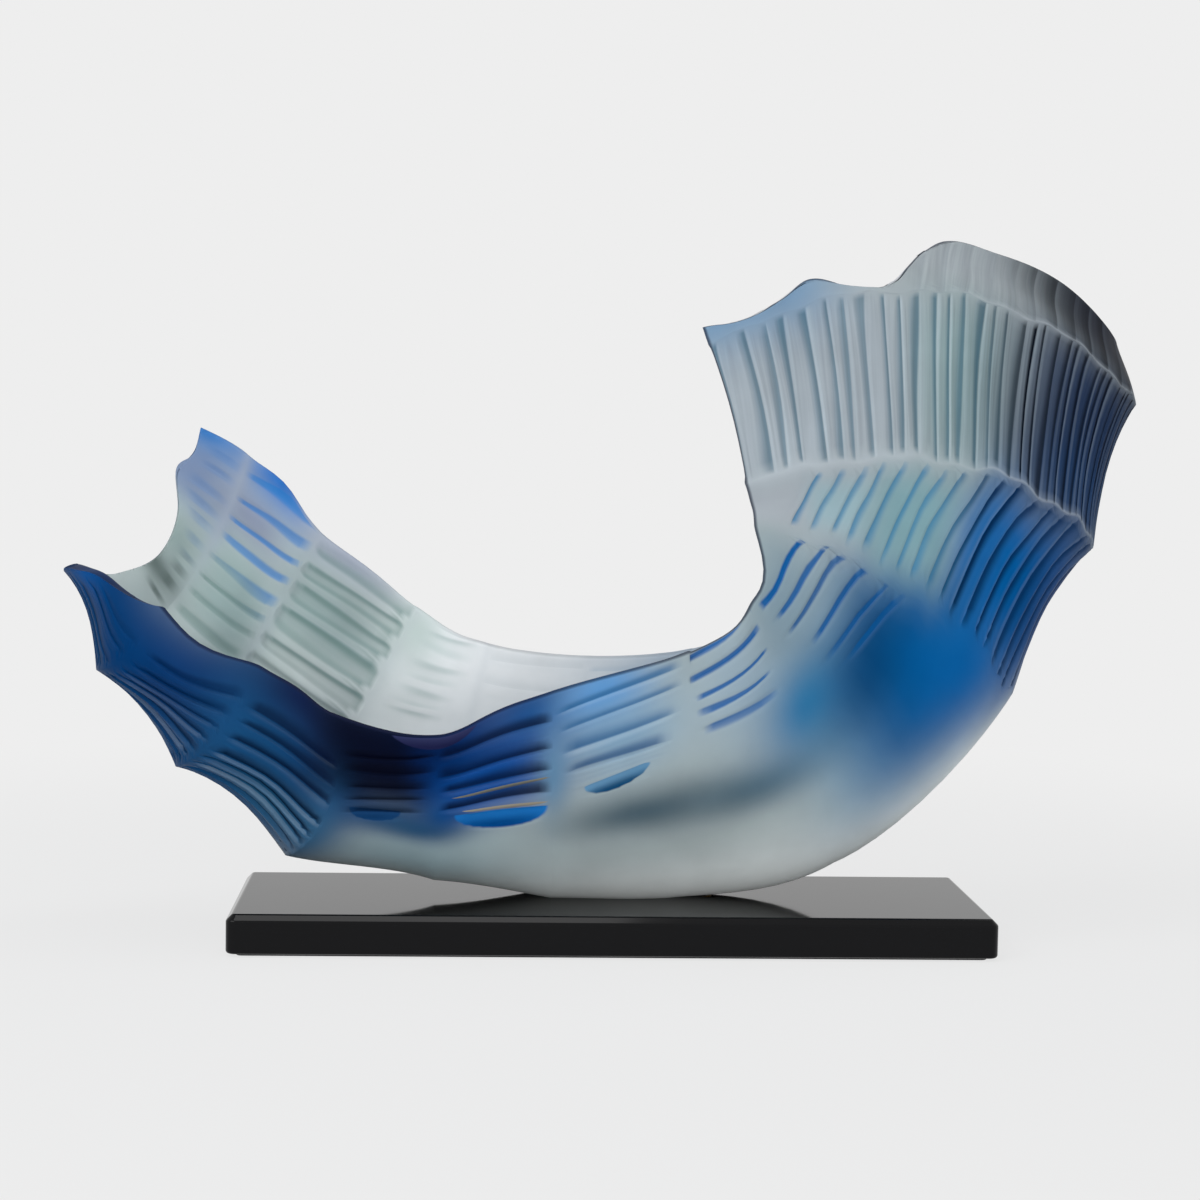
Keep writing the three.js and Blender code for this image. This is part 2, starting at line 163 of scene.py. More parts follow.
def through(points: Sequence[Sequence[float]], at: Array) -> Array:
    """Follow a smooth curve through evenly counted points.

    Args:
        points: The points, of any dimension.
        at: Places along the curve, counted in points.

    Returns:
        One row for each place.
    """
    line = np.asarray(points, float)
    padded = np.vstack([2 * line[0] - line[1], line, 2 * line[-1] - line[-2]])
    start = np.clip(np.floor(at).astype(int), 0, len(line) - 2)
    share = (at - start)[:, None]
    before, first, second, after = (padded[start + step] for step in range(4))
    leave, arrive = (second - before) / 2, (after - first) / 2
    cubic = 2 * first - 2 * second + leave + arrive
    square = 3 * second - 3 * first - 2 * leave - arrive
    return cubic * share ** 3 + square * share ** 2 + leave * share + first


def eased(table: Sequence[Span], at: Array) -> Array:
    """Follow a smooth curve through the pairs of a table, kept between its lowest and highest value.

    Args:
        table: Pairs of a place and a value, in order.
        at: The places to read.

    Returns:
        The value at each place.
    """
    places, values = np.asarray(table, float).T
    slopes = np.gradient(values, places)
    after = np.clip(np.searchsorted(places, at), 1, len(places) - 1)
    before = after - 1
    gap, rise = places[after] - places[before], values[after] - values[before]
    share = np.clip((at - places[before]) / gap, 0, 1)
    leave, arrive = gap * slopes[before], gap * slopes[after]
    curve = leave + share * (3 * rise - 2 * leave - arrive + share * (leave + arrive - 2 * rise))
    return np.clip(values[before] + share * curve, values.min(), values.max())


class Face(Enum):
    """The two faces of the shell's wall."""

    OUTER = "outer"
    INNER = "inner"


class Cut(Enum):
    """How a flute is cut: a brushed stroke, a pleat under a ledge, or a flat channel with round ends."""

    STROKE = 0
    PLEAT = 1
    CHANNEL = 2


@dataclass(frozen=True)
class CutStyle:
    """What a cut gives each of its flutes.

    Attributes:
        reach: How far before its groove a flute takes up that groove's dye and ends, as a share of the pitch.
        middle: Where its middle lies between one count and the next.
        round_end: How far its ends round off, as a share of the bay.
    """

    reach: float
    middle: float
    round_end: float


CUT_STYLES = {
    Cut.STROKE: CutStyle(0.5, 0.0, 0.08),
    Cut.PLEAT: CutStyle(0.6, 0.0, 0.08),
    Cut.CHANNEL: CutStyle(0.0, 0.5, 0.14),
}

# Profile of a groove, in shares of the pitch: half a stroke's width, a pleat's ledge, a channel's banks
STROKE_HALF = 0.17
LEDGE = 0.16
BANKS = (0.08, 0.4)
# How hollow the slope under a pleat's ledge is
SLOPE_POWER = 1.6
# Waves that space grooves unevenly: height, and turns per groove, along the bay and from bay to bay
UNEVEN_WAVES = ((1.0, 0.31, 0.0, 0.37), (0.55, 0.73, 0.5, 0.21))
# Mean sag of a bowed groove, taken off so that the bow leaves the run in its place
MEAN_SAG = 0.667
# Scatter from flute to flute: how far its ends move, and the least and the spread of its stain and its depth
END_SCATTER = 0.03
STAIN_SCATTER = (0.8, 0.2)
DEPTH_SCATTER = (0.55, 0.5)
LEFT_SEED, RIGHT_SEED, STAIN_SEED, DEPTH_SEED = 0.3, 0.6, 0.9, 0.0
# Groove counts over which a run comes in before its first groove, and runs out about its last one
RUN_START = (-0.7, -0.15)
RUN_OUT = (-0.4, 0.2)
# Half the girth share over which the rim's dye gives way to the other. The reach of the dye starts to change
# this far from that turn, and ends at a girth share of its own
TURN_HALF = 0.08
WIDTH_TURN = (-0.05, 0.75)
# Dye that has pooled at the right end of a channel: its strength, and its reach as a share of the bay
POOL = 0.6
POOL_REACH = 0.05
# Flutes are cut this much shallower behind those that show, so that the wall holds
HIDDEN_DEPTH = 0.5


def groove_shift(slant: Any, bow: Any, along: Array) -> Array:
    """How far a groove has sunk towards the keel at places along its bay."""
    return slant * (along - 0.5) + bow * (4 * along * (1 - along) - MEAN_SAG)


@dataclass(frozen=True)
class Section:
    """A ridge across the shell: keel and rims in millimetres over the plinth, and its bow along the shell."""

    keel: Point
    front: Point
    back: Point
    arch: Span


@dataclass(frozen=True)
class Bay:
    """The stretch between two ridges.

    Attributes:
        sink: How far it sinks between them, in millimetres.
        draw: How far its front and back rims draw in.
        fade: Share of the sinking that is gone at the rims.
    """

    sink: float
    draw: Span = (0.0, 0.0)
    fade: float = 1.0


@dataclass(frozen=True)
class Flutes:
    """A run of flutes across one bay. Girth shares are measured from the rim towards the keel.

    Attributes:
        first: Girth share of the first groove, or of the first land between channels.
        last: Girth share where the run ends.
        pitch: Girth share from groove to groove.
        depth: Depth in millimetres.
        cut: How they are cut.
        slant: How far a groove sinks towards the keel over the bay's length.
        bow: How far a groove sags in the middle of the bay.
        left: Where the first and the last flute start along the bay.
        right: Where they end.
        dyes: Groove colour near the rim and further down.
        stain: How strongly each of the two shows.
        turn: Girth share where the one gives way to the other.
        width: Reach of the dye and painted shade from the groove near the rim and at the keel, as a share of
            the pitch.
        taper: What the width of a brushed stroke is multiplied by at its left and its right end.
        crest: Strength of the painted highlight on the crests near the rim and further down.
        soft: How far the ends fade out, as a share of the bay.
        uneven: How unevenly they are spaced, as a share of the pitch.
        gather: How much closer they lie towards the keel.
    """

    first: float
    last: float
    pitch: float
    depth: float
    cut: Cut = Cut.PLEAT
    slant: float = 0.0
    bow: float = 0.0
    left: Span = (0.0, 0.0)
    right: Span = (1.0, 1.0)
    dyes: tuple[str, str] = ("#0c1b3e", "#0c1b3e")
    stain: Span = (0.6, 0.6)
    turn: float = 0.4
    width: Span = (0.5, 0.5)
    taper: Span = (1.15, 0.6)
    crest: Span = (0.1, 0.1)
    soft: float = 0.06
    uneven: float = 0.1
    gather: float = 0.0

    def count(self, share: Array | float) -> Array | float:
        """Count the evenly spaced grooves from the first one to some girth shares."""
        reach = share - self.first
        return reach * (1 + self.gather * reach) / self.pitch

    def phase(self, along: Array, down: Array, bay: int) -> Array:
        """Count the grooves as they are spaced, from the first one to some places.

        Args:
            along: Shares of the bay's length.
            down: Girth shares.
            bay: Number of the bay.

        Returns:
            A running count, whole in the middle of a groove.
        """
        count = self.count(down - groove_shift(self.slant, self.bow, along))
        for height, per_groove, per_length, per_bay in UNEVEN_WAVES:
            turns = per_groove * count + per_length * along + per_bay * bay
            count = count + height * self.uneven * np.sin(2 * np.pi * turns)
        return count

    def profile(self, phase: Array) -> Array:
        """Work out how deep the flutes are cut.

        Args:
            phase: Running groove count of some places.

        Returns:
            Shares of the depth.
        """
        wave = phase - np.floor(phase)
        to_groove = np.minimum(wave, 1 - wave)
        if self.cut is Cut.STROKE:
            return np.exp(-(to_groove / STROKE_HALF) ** 2)
        if self.cut is Cut.CHANNEL:
            return smooth(*BANKS, to_groove)
        ledge = np.cos(np.pi / 2 * np.clip(wave / LEDGE, 0, 1)) ** 2
        slope = np.clip((wave - LEDGE) / (1 - LEDGE), 0, 1) ** SLOPE_POWER
        return np.where(wave < LEDGE, ledge, slope)


@dataclass(frozen=True)
class Scoop:
    """A half-moon scoop that deepens from a straight top edge to a round lower edge.

    Attributes:
        along: Its middle along the shell, counted in bays.
        top: Girth share of its top edge there.
        slant: How far the top edge sinks towards the keel over one bay.
        half_length: Half its length, in bays.
        height: Its height, as a girth share.
        depth: Its depth at the lower edge, in millimetres.
        colours: Its colour along the top edge and along the lower edge.
    """

    along: float
    top: float
    slant: float
    half_length: float
    height: float
    depth: float
    colours: tuple[str, str]


@dataclass(frozen=True)
class Wash:
    """A soft patch of dye in the resin; a few are painted light or painted shade instead, as marked.

    Attributes:
        colour: Colour of the dye.
        along: Middle of the patch along the shell, counted in bays.
        girth: Middle of the patch round the girth, 1 at a rim and 0 at the keel.
        reach: Its reach along the shell and round the girth.
        strength: How strongly it covers at its middle.
        edge: 2 for a soft fall-off; more gives a flatter middle and a firmer edge.
    """

    colour: str
    along: float
    girth: float
    reach: Span
    strength: float = 1.0
    edge: float = 2.0


SECTIONS = (
    Section((-286, 8, 167.5), (-246, -46, 198.5), (-233, 60, 247.5), (-6, 8)),
    Section((-268, 8, 116.5), (-227, -58, 151.5), (-196, 66, 227.5), (6, 12)),
    Section((-227, 7, 66.5), (-177, -66, 123.5), (-156, 70, 185.5), (6, 0)),
    Section((-170, 6, 20.5), (-141, -70, 101.5), (-103, 70, 145.5), (14, 0)),
    Section((-92, 5, 8), (-89, -70, 91.7), (-64, 68, 126.5), (0, 0)),
    Section((-31, 5, -1.3), (-33, -70, 114.5), (-9, 66, 120.5), (0, 0)),
    Section((30, 5, -1.3), (35, -68, 135.5), (47, 64, 125.5), (2, 0)),
    Section((118, 5, 18), (64, -66, 157.5), (80, 64, 142.5), (8, 4)),
    Section((210, 4, 107.5), (65.5, -66, 198.5), (100, 66, 174.5), (16, 10)),
    Section((252, 2, 187.5), (60, -68, 218.5), (105, 70, 218.5), (30, 20)),
    Section((271.5, 0, 260.5), (39.5, -74, 286.5), (91, 76, 270.5), (42, 30)),
    Section((266, 0, 305.5), (34, -76, 297.5), (86, 78, 286.5), (50, 34)),
)
BAYS = (
    Bay(6.5), Bay(7.5, (4.2, -4)), Bay(10.5, (-2, -2)), Bay(3, (0, 1)), Bay(1.5, (-2.5, 0)), Bay(1.2),
    Bay(0), Bay(-3.5, (6.5, 0)), Bay(9.5, fade=0.7), Bay(7, (2, 0), fade=0.5), Bay(7.5, fade=0.5),
)
LAST_BAY = len(BAYS) - 1

# Wavy free ends: girth from the front rim to the back rim, and the share of the end bay that is there
LEFT_EDGE = (
    (-1, 0.05), (-0.86, 0.38), (-0.71, 0.65), (-0.48, 0.87), (0, 1), (0.3, 0.69), (0.52, 0.44),
    (0.68, 0.53), (0.8, 0.77), (0.9, 0.67), (1, 0.71),
)
RIGHT_EDGE = (
    (-1, 0.34), (-0.95, 0.11), (-0.9, 0.08), (-0.86, 0.1), (-0.8, 0.2), (-0.73, 0.08), (-0.69, 0.03),
    (-0.63, 0.12), (-0.55, 0.58), (-0.51, 0.74), (-0.4, 0.8), (-0.25, 0.85), (-0.1, 0.78), (0, 0.74),
    (0.25, 0.7), (0.45, 0.85), (0.62, 0.3), (0.8, 0.75), (1, 0.55),
)

# Flutes, bay by bay from the left end
NAVY = "#06112e"
OUTER_FLUTES = (
    Flutes(0.3, 1.0, 0.12, 1.4, slant=-0.1, bow=0.04, dyes=("#002650", "#001e40"), stain=(0.3, 0.7),
           crest=(0.0, 0.05)),
    Flutes(0.2, 1.0, 0.087, 3.0, slant=-0.1, bow=0.01, left=(0.08, -0.03), right=(1.0, 1.02),
           dyes=("#001c44", "#001634"), stain=(0.65, 0.95), width=(0.7, 0.7), crest=(0.03, 0.15), soft=0.12),
    Flutes(0.16, 1.0, 0.088, 3.6, slant=0.03, bow=-0.02, left=(0.02, -0.03), right=(1.04, 1.04),
           dyes=(NAVY, "#00122e"), stain=(0.95, 1.0), width=(0.72, 0.72), crest=(0.05, 0.2), soft=0.1),
    Flutes(0.115, 0.36, 0.058, 2.4, slant=-0.07, left=(-0.06, 0.04), right=(1.06, 0.9),
           dyes=("#020414", "#020a22"), stain=(0.9, 1.0), width=(0.75, 0.75), crest=(0.0, 0.03), soft=0.22),
    Flutes(0.09, 0.36, 0.077, 3.4, slant=0.02, left=(-0.06, 0.02), right=(1.04, 1.02),
           dyes=(NAVY, "#020c28"), stain=(0.9, 1.0), turn=0.25, width=(0.75, 0.8), crest=(0.02, 0.06),
           soft=0.12),
    Flutes(0.05, 0.3, 0.068, 2.8, slant=-0.05, left=(-0.03, 0.08), right=(0.95, 0.88),
           dyes=("#2c6290", "#064478"), stain=(0.85, 1.0), turn=0.2, width=(0.5, 0.8), crest=(0.2, 0.4),
           soft=0.14),
    Flutes(0.015, 0.26, 0.057, 2.0, Cut.STROKE, slant=-0.03, left=(-0.1, 0.14), right=(1.05, 0.8),
           dyes=("#00589c", "#005496"), stain=(1.0, 1.0), width=(0.22, 0.22)),
    Flutes(0.055, 0.37, 0.061, 2.0, Cut.STROKE, slant=0.095, bow=-0.035, left=(0.16, 0.46), right=(1.05, 1.0),
           dyes=("#005494", "#004684"), stain=(1.0, 1.0), width=(0.2, 0.2), taper=(0.85, 1.0)),
    Flutes(1.0, 0.1, -0.046, 1.2, slant=0.085, bow=-0.012, left=(-0.1, 0.12), right=(1.06, 0.96),
           dyes=("#2076a4", "#00264c"), stain=(0.75, 1.0), turn=0.5, width=(0.4, 0.52), crest=(0.03, 0.12),
           uneven=0.07),
    Flutes(0.02, 1.0, 0.044, 1.5, slant=0.01, left=(0.0, -0.06), right=(1.0, 1.05),
           dyes=("#2c5f74", "#050a16"), stain=(0.7, 1.0), turn=0.55, width=(0.45, 0.5), crest=(0.4, 0.14),
           uneven=0.15, gather=0.5),
    Flutes(0.3, 1.0, 0.046, 0.2, slant=0.08, left=(-0.05, -0.05), dyes=("#6a747c", "#08090e"),
           stain=(0.22, 0.6), turn=0.64, width=(0.9, 0.8), crest=(0.02, 0.05), uneven=0.05),
)
TEAL = "#557b75"
INNER_FLUTES = (
    Flutes(0.06, 0.62, 0.06, 1.0, Cut.STROKE, right=(1.03, 1.03), dyes=("#4f80bc", "#3d504b"),
           stain=(0.4, 0.85), width=(0.4, 0.4), taper=(1.0, 0.8), soft=0.26),
    Flutes(0.035, 0.62, 0.072, 1.6, Cut.STROKE, slant=-0.085, bow=0.02, left=(0.0, -0.02), right=(1.02, 1.02),
           dyes=("#1a7cc8", "#64857f"), stain=(0.8, 0.5), turn=0.33, width=(0.22, 0.3), taper=(0.75, 1.3),
           soft=0.14),
    Flutes(0.061, 0.6, 0.09, 3.0, Cut.CHANNEL, slant=-0.03, left=(-0.02, -0.03), right=(1.02, 1.0),
           dyes=(TEAL, "#7c8886"), stain=(0.75, 0.55)),
    Flutes(0.02, 0.36, 0.095, 0.7, Cut.CHANNEL, slant=-0.03, left=(0.08, 0.08), right=(0.97, 0.78),
           dyes=("#8aa8a2", "#a3abb2"), stain=(0.42, 0.35), soft=0.3),
    Flutes(0.05, 0.2, 0.08, 0.3, dyes=("#b4bec2", "#b4bec2"), stain=(0.2, 0.2)),
    Flutes(0.05, 0.2, 0.07, 0.3, dyes=("#9fb9cc", "#9fb9cc"), stain=(0.3, 0.3)),
    Flutes(0.05, 0.25, 0.065, 1.0, dyes=("#6fa3d2", "#6fa3d2")),
    Flutes(0.04, 0.35, 0.06, 1.2, dyes=("#4f93d0", "#4f93d0")),
    Flutes(0.06, 0.9, 0.052, 1.6, slant=0.05, dyes=("#8fb0bd", "#2c66a4"), stain=(0.4, 0.7), uneven=0.2),
    Flutes(0.04, 0.9, 0.046, 1.5, dyes=("#8593a0", "#3a4760"), stain=(0.4, 0.6), turn=0.5, uneven=0.2),
    Flutes(0.2, 0.95, 0.046, 0.8, slant=0.05, dyes=("#7f8890", "#3a3d48"), stain=(0.4, 0.5), turn=0.6,
           uneven=0.2),
)
SCOOPS = (
    Scoop(3.41, 0.338, -0.03, 0.26, 0.055, 1.6, ("#143e6c", "#103a66")),
    Scoop(4.56, 0.358, 0.05, 0.41, 0.075, 2.8, ("#1a6cb4", "#00427e")),
    Scoop(5.48, 0.318, -0.085, 0.25, 0.05, 2.2, ("#5f8cae", "#0e4268")),
    Scoop(3.95, -0.004, 0.0, 0.42, 0.06, 0.8, ("#2e3358", "#191c40")),
    # The last two are thin, nearly flat scoops whose tan colours are painted highlights along the ledges over
    # the lowest flutes
    Scoop(4.56, 0.268, 0.02, 0.44, 0.013, 0.1, ("#787668", "#54585c")),
    Scoop(4.6, 0.342, 0.05, 0.38, 0.014, 0.1, ("#928b7c", "#726e66")),
)

# Dye in the resin, laid on in order, each over the last; the few that are painted light or shade say so
PALE_RESIN = "#a0abab"
OUTER_WASHES = (
    # Near-white wash along the keel under the belly: painted light on the underside, which faces down and
    # away from the lamps
    Wash("#f8fcfa", 6.0, 0.04, (2.8, 0.3), 0.95),
    Wash("#8c9798", 5.8, 0.4, (1.2, 0.1), 0.6),
    Wash("#8ba0a6", 3.8, 0.42, (0.9, 0.22)),
    Wash("#00376a", 0.9, 0.6, (1.9, 0.6), edge=4),
    Wash("#005cae", 0.05, 0.55, (0.3, 0.4), 0.8),
    Wash("#003860", 0.7, 0.36, (0.7, 0.16), 0.6),
    Wash("#002e62", 1.6, 0.82, (0.6, 0.25), 0.7),
    Wash("#124672", 2.4, 0.6, (0.72, 0.55), edge=4),
    Wash("#003460", 0.9, 0.0, (1.9, 0.42), 0.95, edge=4),
    Wash("#2f6a86", 2.65, 0.42, (0.4, 0.16), 0.45),
    Wash("#002a62", 3.95, 0.92, (1.2, 0.25), edge=3),
    Wash("#001f50", 3.05, 0.78, (0.35, 0.22), 0.95),
    Wash("#060f3a", 2.5, 0.98, (0.6, 0.12), 0.85),
    Wash("#03071c", 3.38, 0.88, (0.7, 0.22), 0.98, edge=4),
    Wash("#083c6e", 3.5, 0.63, (0.5, 0.07), 0.85),
    Wash("#204a6c", 3.85, 0.6, (0.5, 0.07), 0.9),
    Wash("#021a46", 4.0, 0.84, (0.26, 0.14), 0.9, edge=3),
    Wash("#123f6a", 4.06, 0.67, (0.26, 0.09), 0.95),
    Wash("#2a5f86", 2.95, 0.5, (0.22, 0.2), 0.7),
    Wash("#00407c", 4.85, 0.94, (0.4, 0.14), 0.95),
    Wash("#00448c", 4.5, 0.76, (0.52, 0.13), 0.95, edge=3),
    Wash("#5790c6", 5.36, 0.95, (0.34, 0.12)),
    Wash("#7fa3bf", 5.5, 0.8, (0.42, 0.12), 0.8),
    Wash("#5a82a0", 5.0, 0.72, (0.12, 0.14), 0.8),
    Wash("#93a7b5", 6.45, 0.86, (0.5, 0.2), 0.8),
    Wash("#3f525d", 5.7, 0.54, (0.75, 0.085), 0.95),
    Wash("#4a606c", 6.5, 0.535, (0.55, 0.075), 0.9),
    Wash("#186494", 7.08, 0.68, (0.46, 0.14), 0.97),
    Wash("#3f84a8", 7.55, 0.5, (0.6, 0.3), 0.65, edge=3),
    Wash("#004e84", 7.7, 0.48, (0.52, 0.26), edge=3),
    Wash("#003a66", 7.58, 0.6, (0.36, 0.12), 0.9),
    Wash("#005a9c", 7.85, 0.36, (0.3, 0.18), 0.95),
    Wash("#6f8796", 7.4, 0.92, (0.6, 0.13), 0.8),
    Wash("#a2a9af", 8.55, 0.94, (0.55, 0.24), edge=4),
    Wash("#90b0b8", 8.5, 0.79, (0.36, 0.08), 0.7, edge=4),
    Wash("#7b9da4", 8.5, 0.6, (0.48, 0.13), edge=4),
    Wash("#1c6498", 8.5, 0.42, (0.52, 0.06), 0.85, edge=3),
    Wash("#005c9e", 8.45, 0.28, (0.58, 0.2), edge=4),
    Wash("#00386e", 8.5, 0.0, (0.55, 0.26), 0.95, edge=4),
    Wash("#a0a9b0", 9.5, 0.87, (0.6, 0.35), edge=5),
    Wash("#8ca1a3", 9.5, 0.52, (0.55, 0.1), edge=3),
    # Dark slate low on the fin: partly dye and partly painted shade where the fin turns away from the light
    # towards the keel
    Wash("#243450", 9.55, 0.1, (0.65, 0.34), edge=5),
    Wash("#163a64", 9.12, 0.2, (0.3, 0.2), 0.75),
    Wash("#9ca3a7", 10.6, 0.55, (0.6, 0.3), edge=4),
    Wash("#7292b0", 10.45, 0.9, (0.6, 0.16), edge=4),
    # Near-black low on the fin's top: partly dye and partly painted shade where it turns away from the light
    # towards the keel
    Wash("#33363f", 10.6, 0.06, (0.65, 0.3), edge=5),
)
WHITE_RESIN = "#eff1f2"
INNER_WASHES = (
    Wash("#a9b9b7", 1.0, 0.6, (2.2, 0.6), 0.8, edge=4),
    Wash("#7d8fae", 0.3, 0.85, (0.8, 0.16), edge=3),
    Wash("#3d7cc0", 0.4, 1.0, (0.6, 0.07)),
    Wash("#96a8a6", 0.5, 0.6, (0.6, 0.1)),
    # Dark green-grey band low on the inner face of the left end: painted shade in the inner valley
    Wash("#53635f", 0.5, 0.46, (0.45, 0.05), 0.85),
    Wash("#8b93aa", 1.3, 0.83, (0.5, 0.09), 0.9),
    Wash("#0a6cc0", 1.45, 1.0, (0.5, 0.09)),
    Wash("#98acab", 1.5, 0.6, (0.5, 0.16), edge=3),
    Wash("#98a3b8", 1.0, 0.85, (0.09, 0.2), 0.8),
    Wash("#a3aeb2", 2.0, 0.75, (0.09, 0.3), 0.7),
    Wash("#aab0c0", 2.3, 0.98, (0.5, 0.06)),
    Wash("#9aaaaa", 2.4, 0.8, (0.55, 0.14), edge=3),
    Wash("#bfcdc9", 3.1, 0.93, (0.3, 0.09), 0.9),
    Wash("#a9bfd2", 6.4, 0.85, (1.2, 0.3), 0.8, edge=3),
    Wash("#6f9dc8", 7.9, 0.45, (0.7, 0.3), 0.85),
    Wash("#5f87b2", 9.2, 0.25, (1.4, 0.3), 0.9, edge=3),
    Wash("#525b70", 10.4, 0.2, (0.8, 0.25), 0.85, edge=3),
)
SHELL_ATTRIBUTES = ("tint", "dye", "flute_run", "flute_finish", "scoop_colour", "scoop", "along")
RIM_DYE = "#191f38"

# Painted highlight along the ridges: strength and half width in bays of a soft and a thin line on the fin,
# and of the inner face's lines, and the girth shares from the rim where the soft line gives way to the thin
# one
RIDGE_HIGHLIGHT = "#b9c1c6"
SOFT_LINE, THIN_LINE, INNER_LINE = (0.4, 0.06), (0.4, 0.014), (0.15, 0.06)
FIN_RIDGES = (9, 10)
LINE_TURN = (0.4, 0.6)

# Hand-cut ridges of the fin: where along the shell they begin and cease to wander, the girths over which they
# come to rest at the rims, and waves by height in bays, turns over half the girth and turns per bay
FIN_START, FIN_END, FIN_RIMS = (7.3, 8.0), (10.0, 10.6), (0.85, 1.0)
RIDGE_WAVES = ((0.02, 4.3, 0.45), (0.012, 11.7, 0.83))

# Shares of the end bays that relief needs to build up, and how far in from the left end its flutes start
LEFT_ROOM, RIGHT_ROOM = (0.1, 0.5), (0.05, 0.4)
END_MARGIN = 0.1

# Girths over which a bay's hollow grows softer at the ridges and over which it fades out. The last bay is
# hollowed as if it were longer, because its free end is open
HOLLOW_SOFTENS, HOLLOW_FADES = (0.25, 0.65), (0.4, 0.95)
LAST_BAY_SPAN = 1.7

# Scoops: slope and lead of the straight top edge, share of the depth there, and the spans of shade and bank
SCOOP_EDGE = (4, 0.2)
SCOOP_TOP_DEPTH = 0.25
SCOOP_SHADES, SCOOP_BANK = (0.1, 0.9), (0.0, 0.3)

# Shares of the bay and of the girth over which the mesh turns from the ridges and rims to the flutes and back
MESH_BAY = ((0.0, 0.1), (0.9, 1.0))
MESH_GIRTH = ((0.0, 0.12), (0.8, 1.0))

# Steps, in bays or girth, over which the loft's directions are measured
KEEL_STEP = 1e-3
NORMAL_STEP = 0.02


def ridge_highlight_line(line: Span, far: Array) -> Array:
    """Share of painted highlight at some distances, in bays, from a ridge."""
    return line[0] * np.exp(-(far / line[1]) ** 2)


@dataclass(frozen=True)
class Places:
    """Some places on a face of the shell.

    Attributes:
        length: Length on the loft, counted in bays.
        girth: Girth from -1 at the front rim to 1 at the back rim.
        face: Outer or inner face.
    """

    length: Array
    girth: Array
    face: Face

    @property
    def bay(self) -> Array:
        """Number of each place's bay."""
        return np.clip(np.floor(self.length).astype(int), 0, LAST_BAY)

    @property
    def along(self) -> Array:
        """Share of the bay's length at each place."""
        return self.length - self.bay

    @property
    def up(self) -> Array:
        """Girth share of each place from the keel."""
        return np.abs(self.girth)

    @property
    def down(self) -> Array:
        """Girth share of each place from the rim."""
        return 1 - np.abs(self.girth)

    @property
    def runs(self) -> Sequence[Flutes]:
        """The face's runs of flutes, bay by bay."""
        return OUTER_FLUTES if self.face is Face.OUTER else INNER_FLUTES

    def chosen(self, mask: Array) -> Places:
        """Only the places that a mask marks."""
        return Places(self.length[mask], self.girth[mask], self.face)


@dataclass(frozen=True)
class FluteField:
    """What the flutes do at some places, one row for each place.

    Attributes:
        run: Running groove count, strength from 0 to 1, and number of the cut.
        finish: Reach of the groove's dye and painted shade, its stain, and the strength of the painted crest
            highlight.
        dye: Linear colour of the dye.
        height: Height in millimetres, 0 at a crest and less in a groove.
        pool: Share of dye that has pooled at the end of a channel.
    """

    run: Array
    finish: Array
    dye: Array
    height: Array
    pool: Array


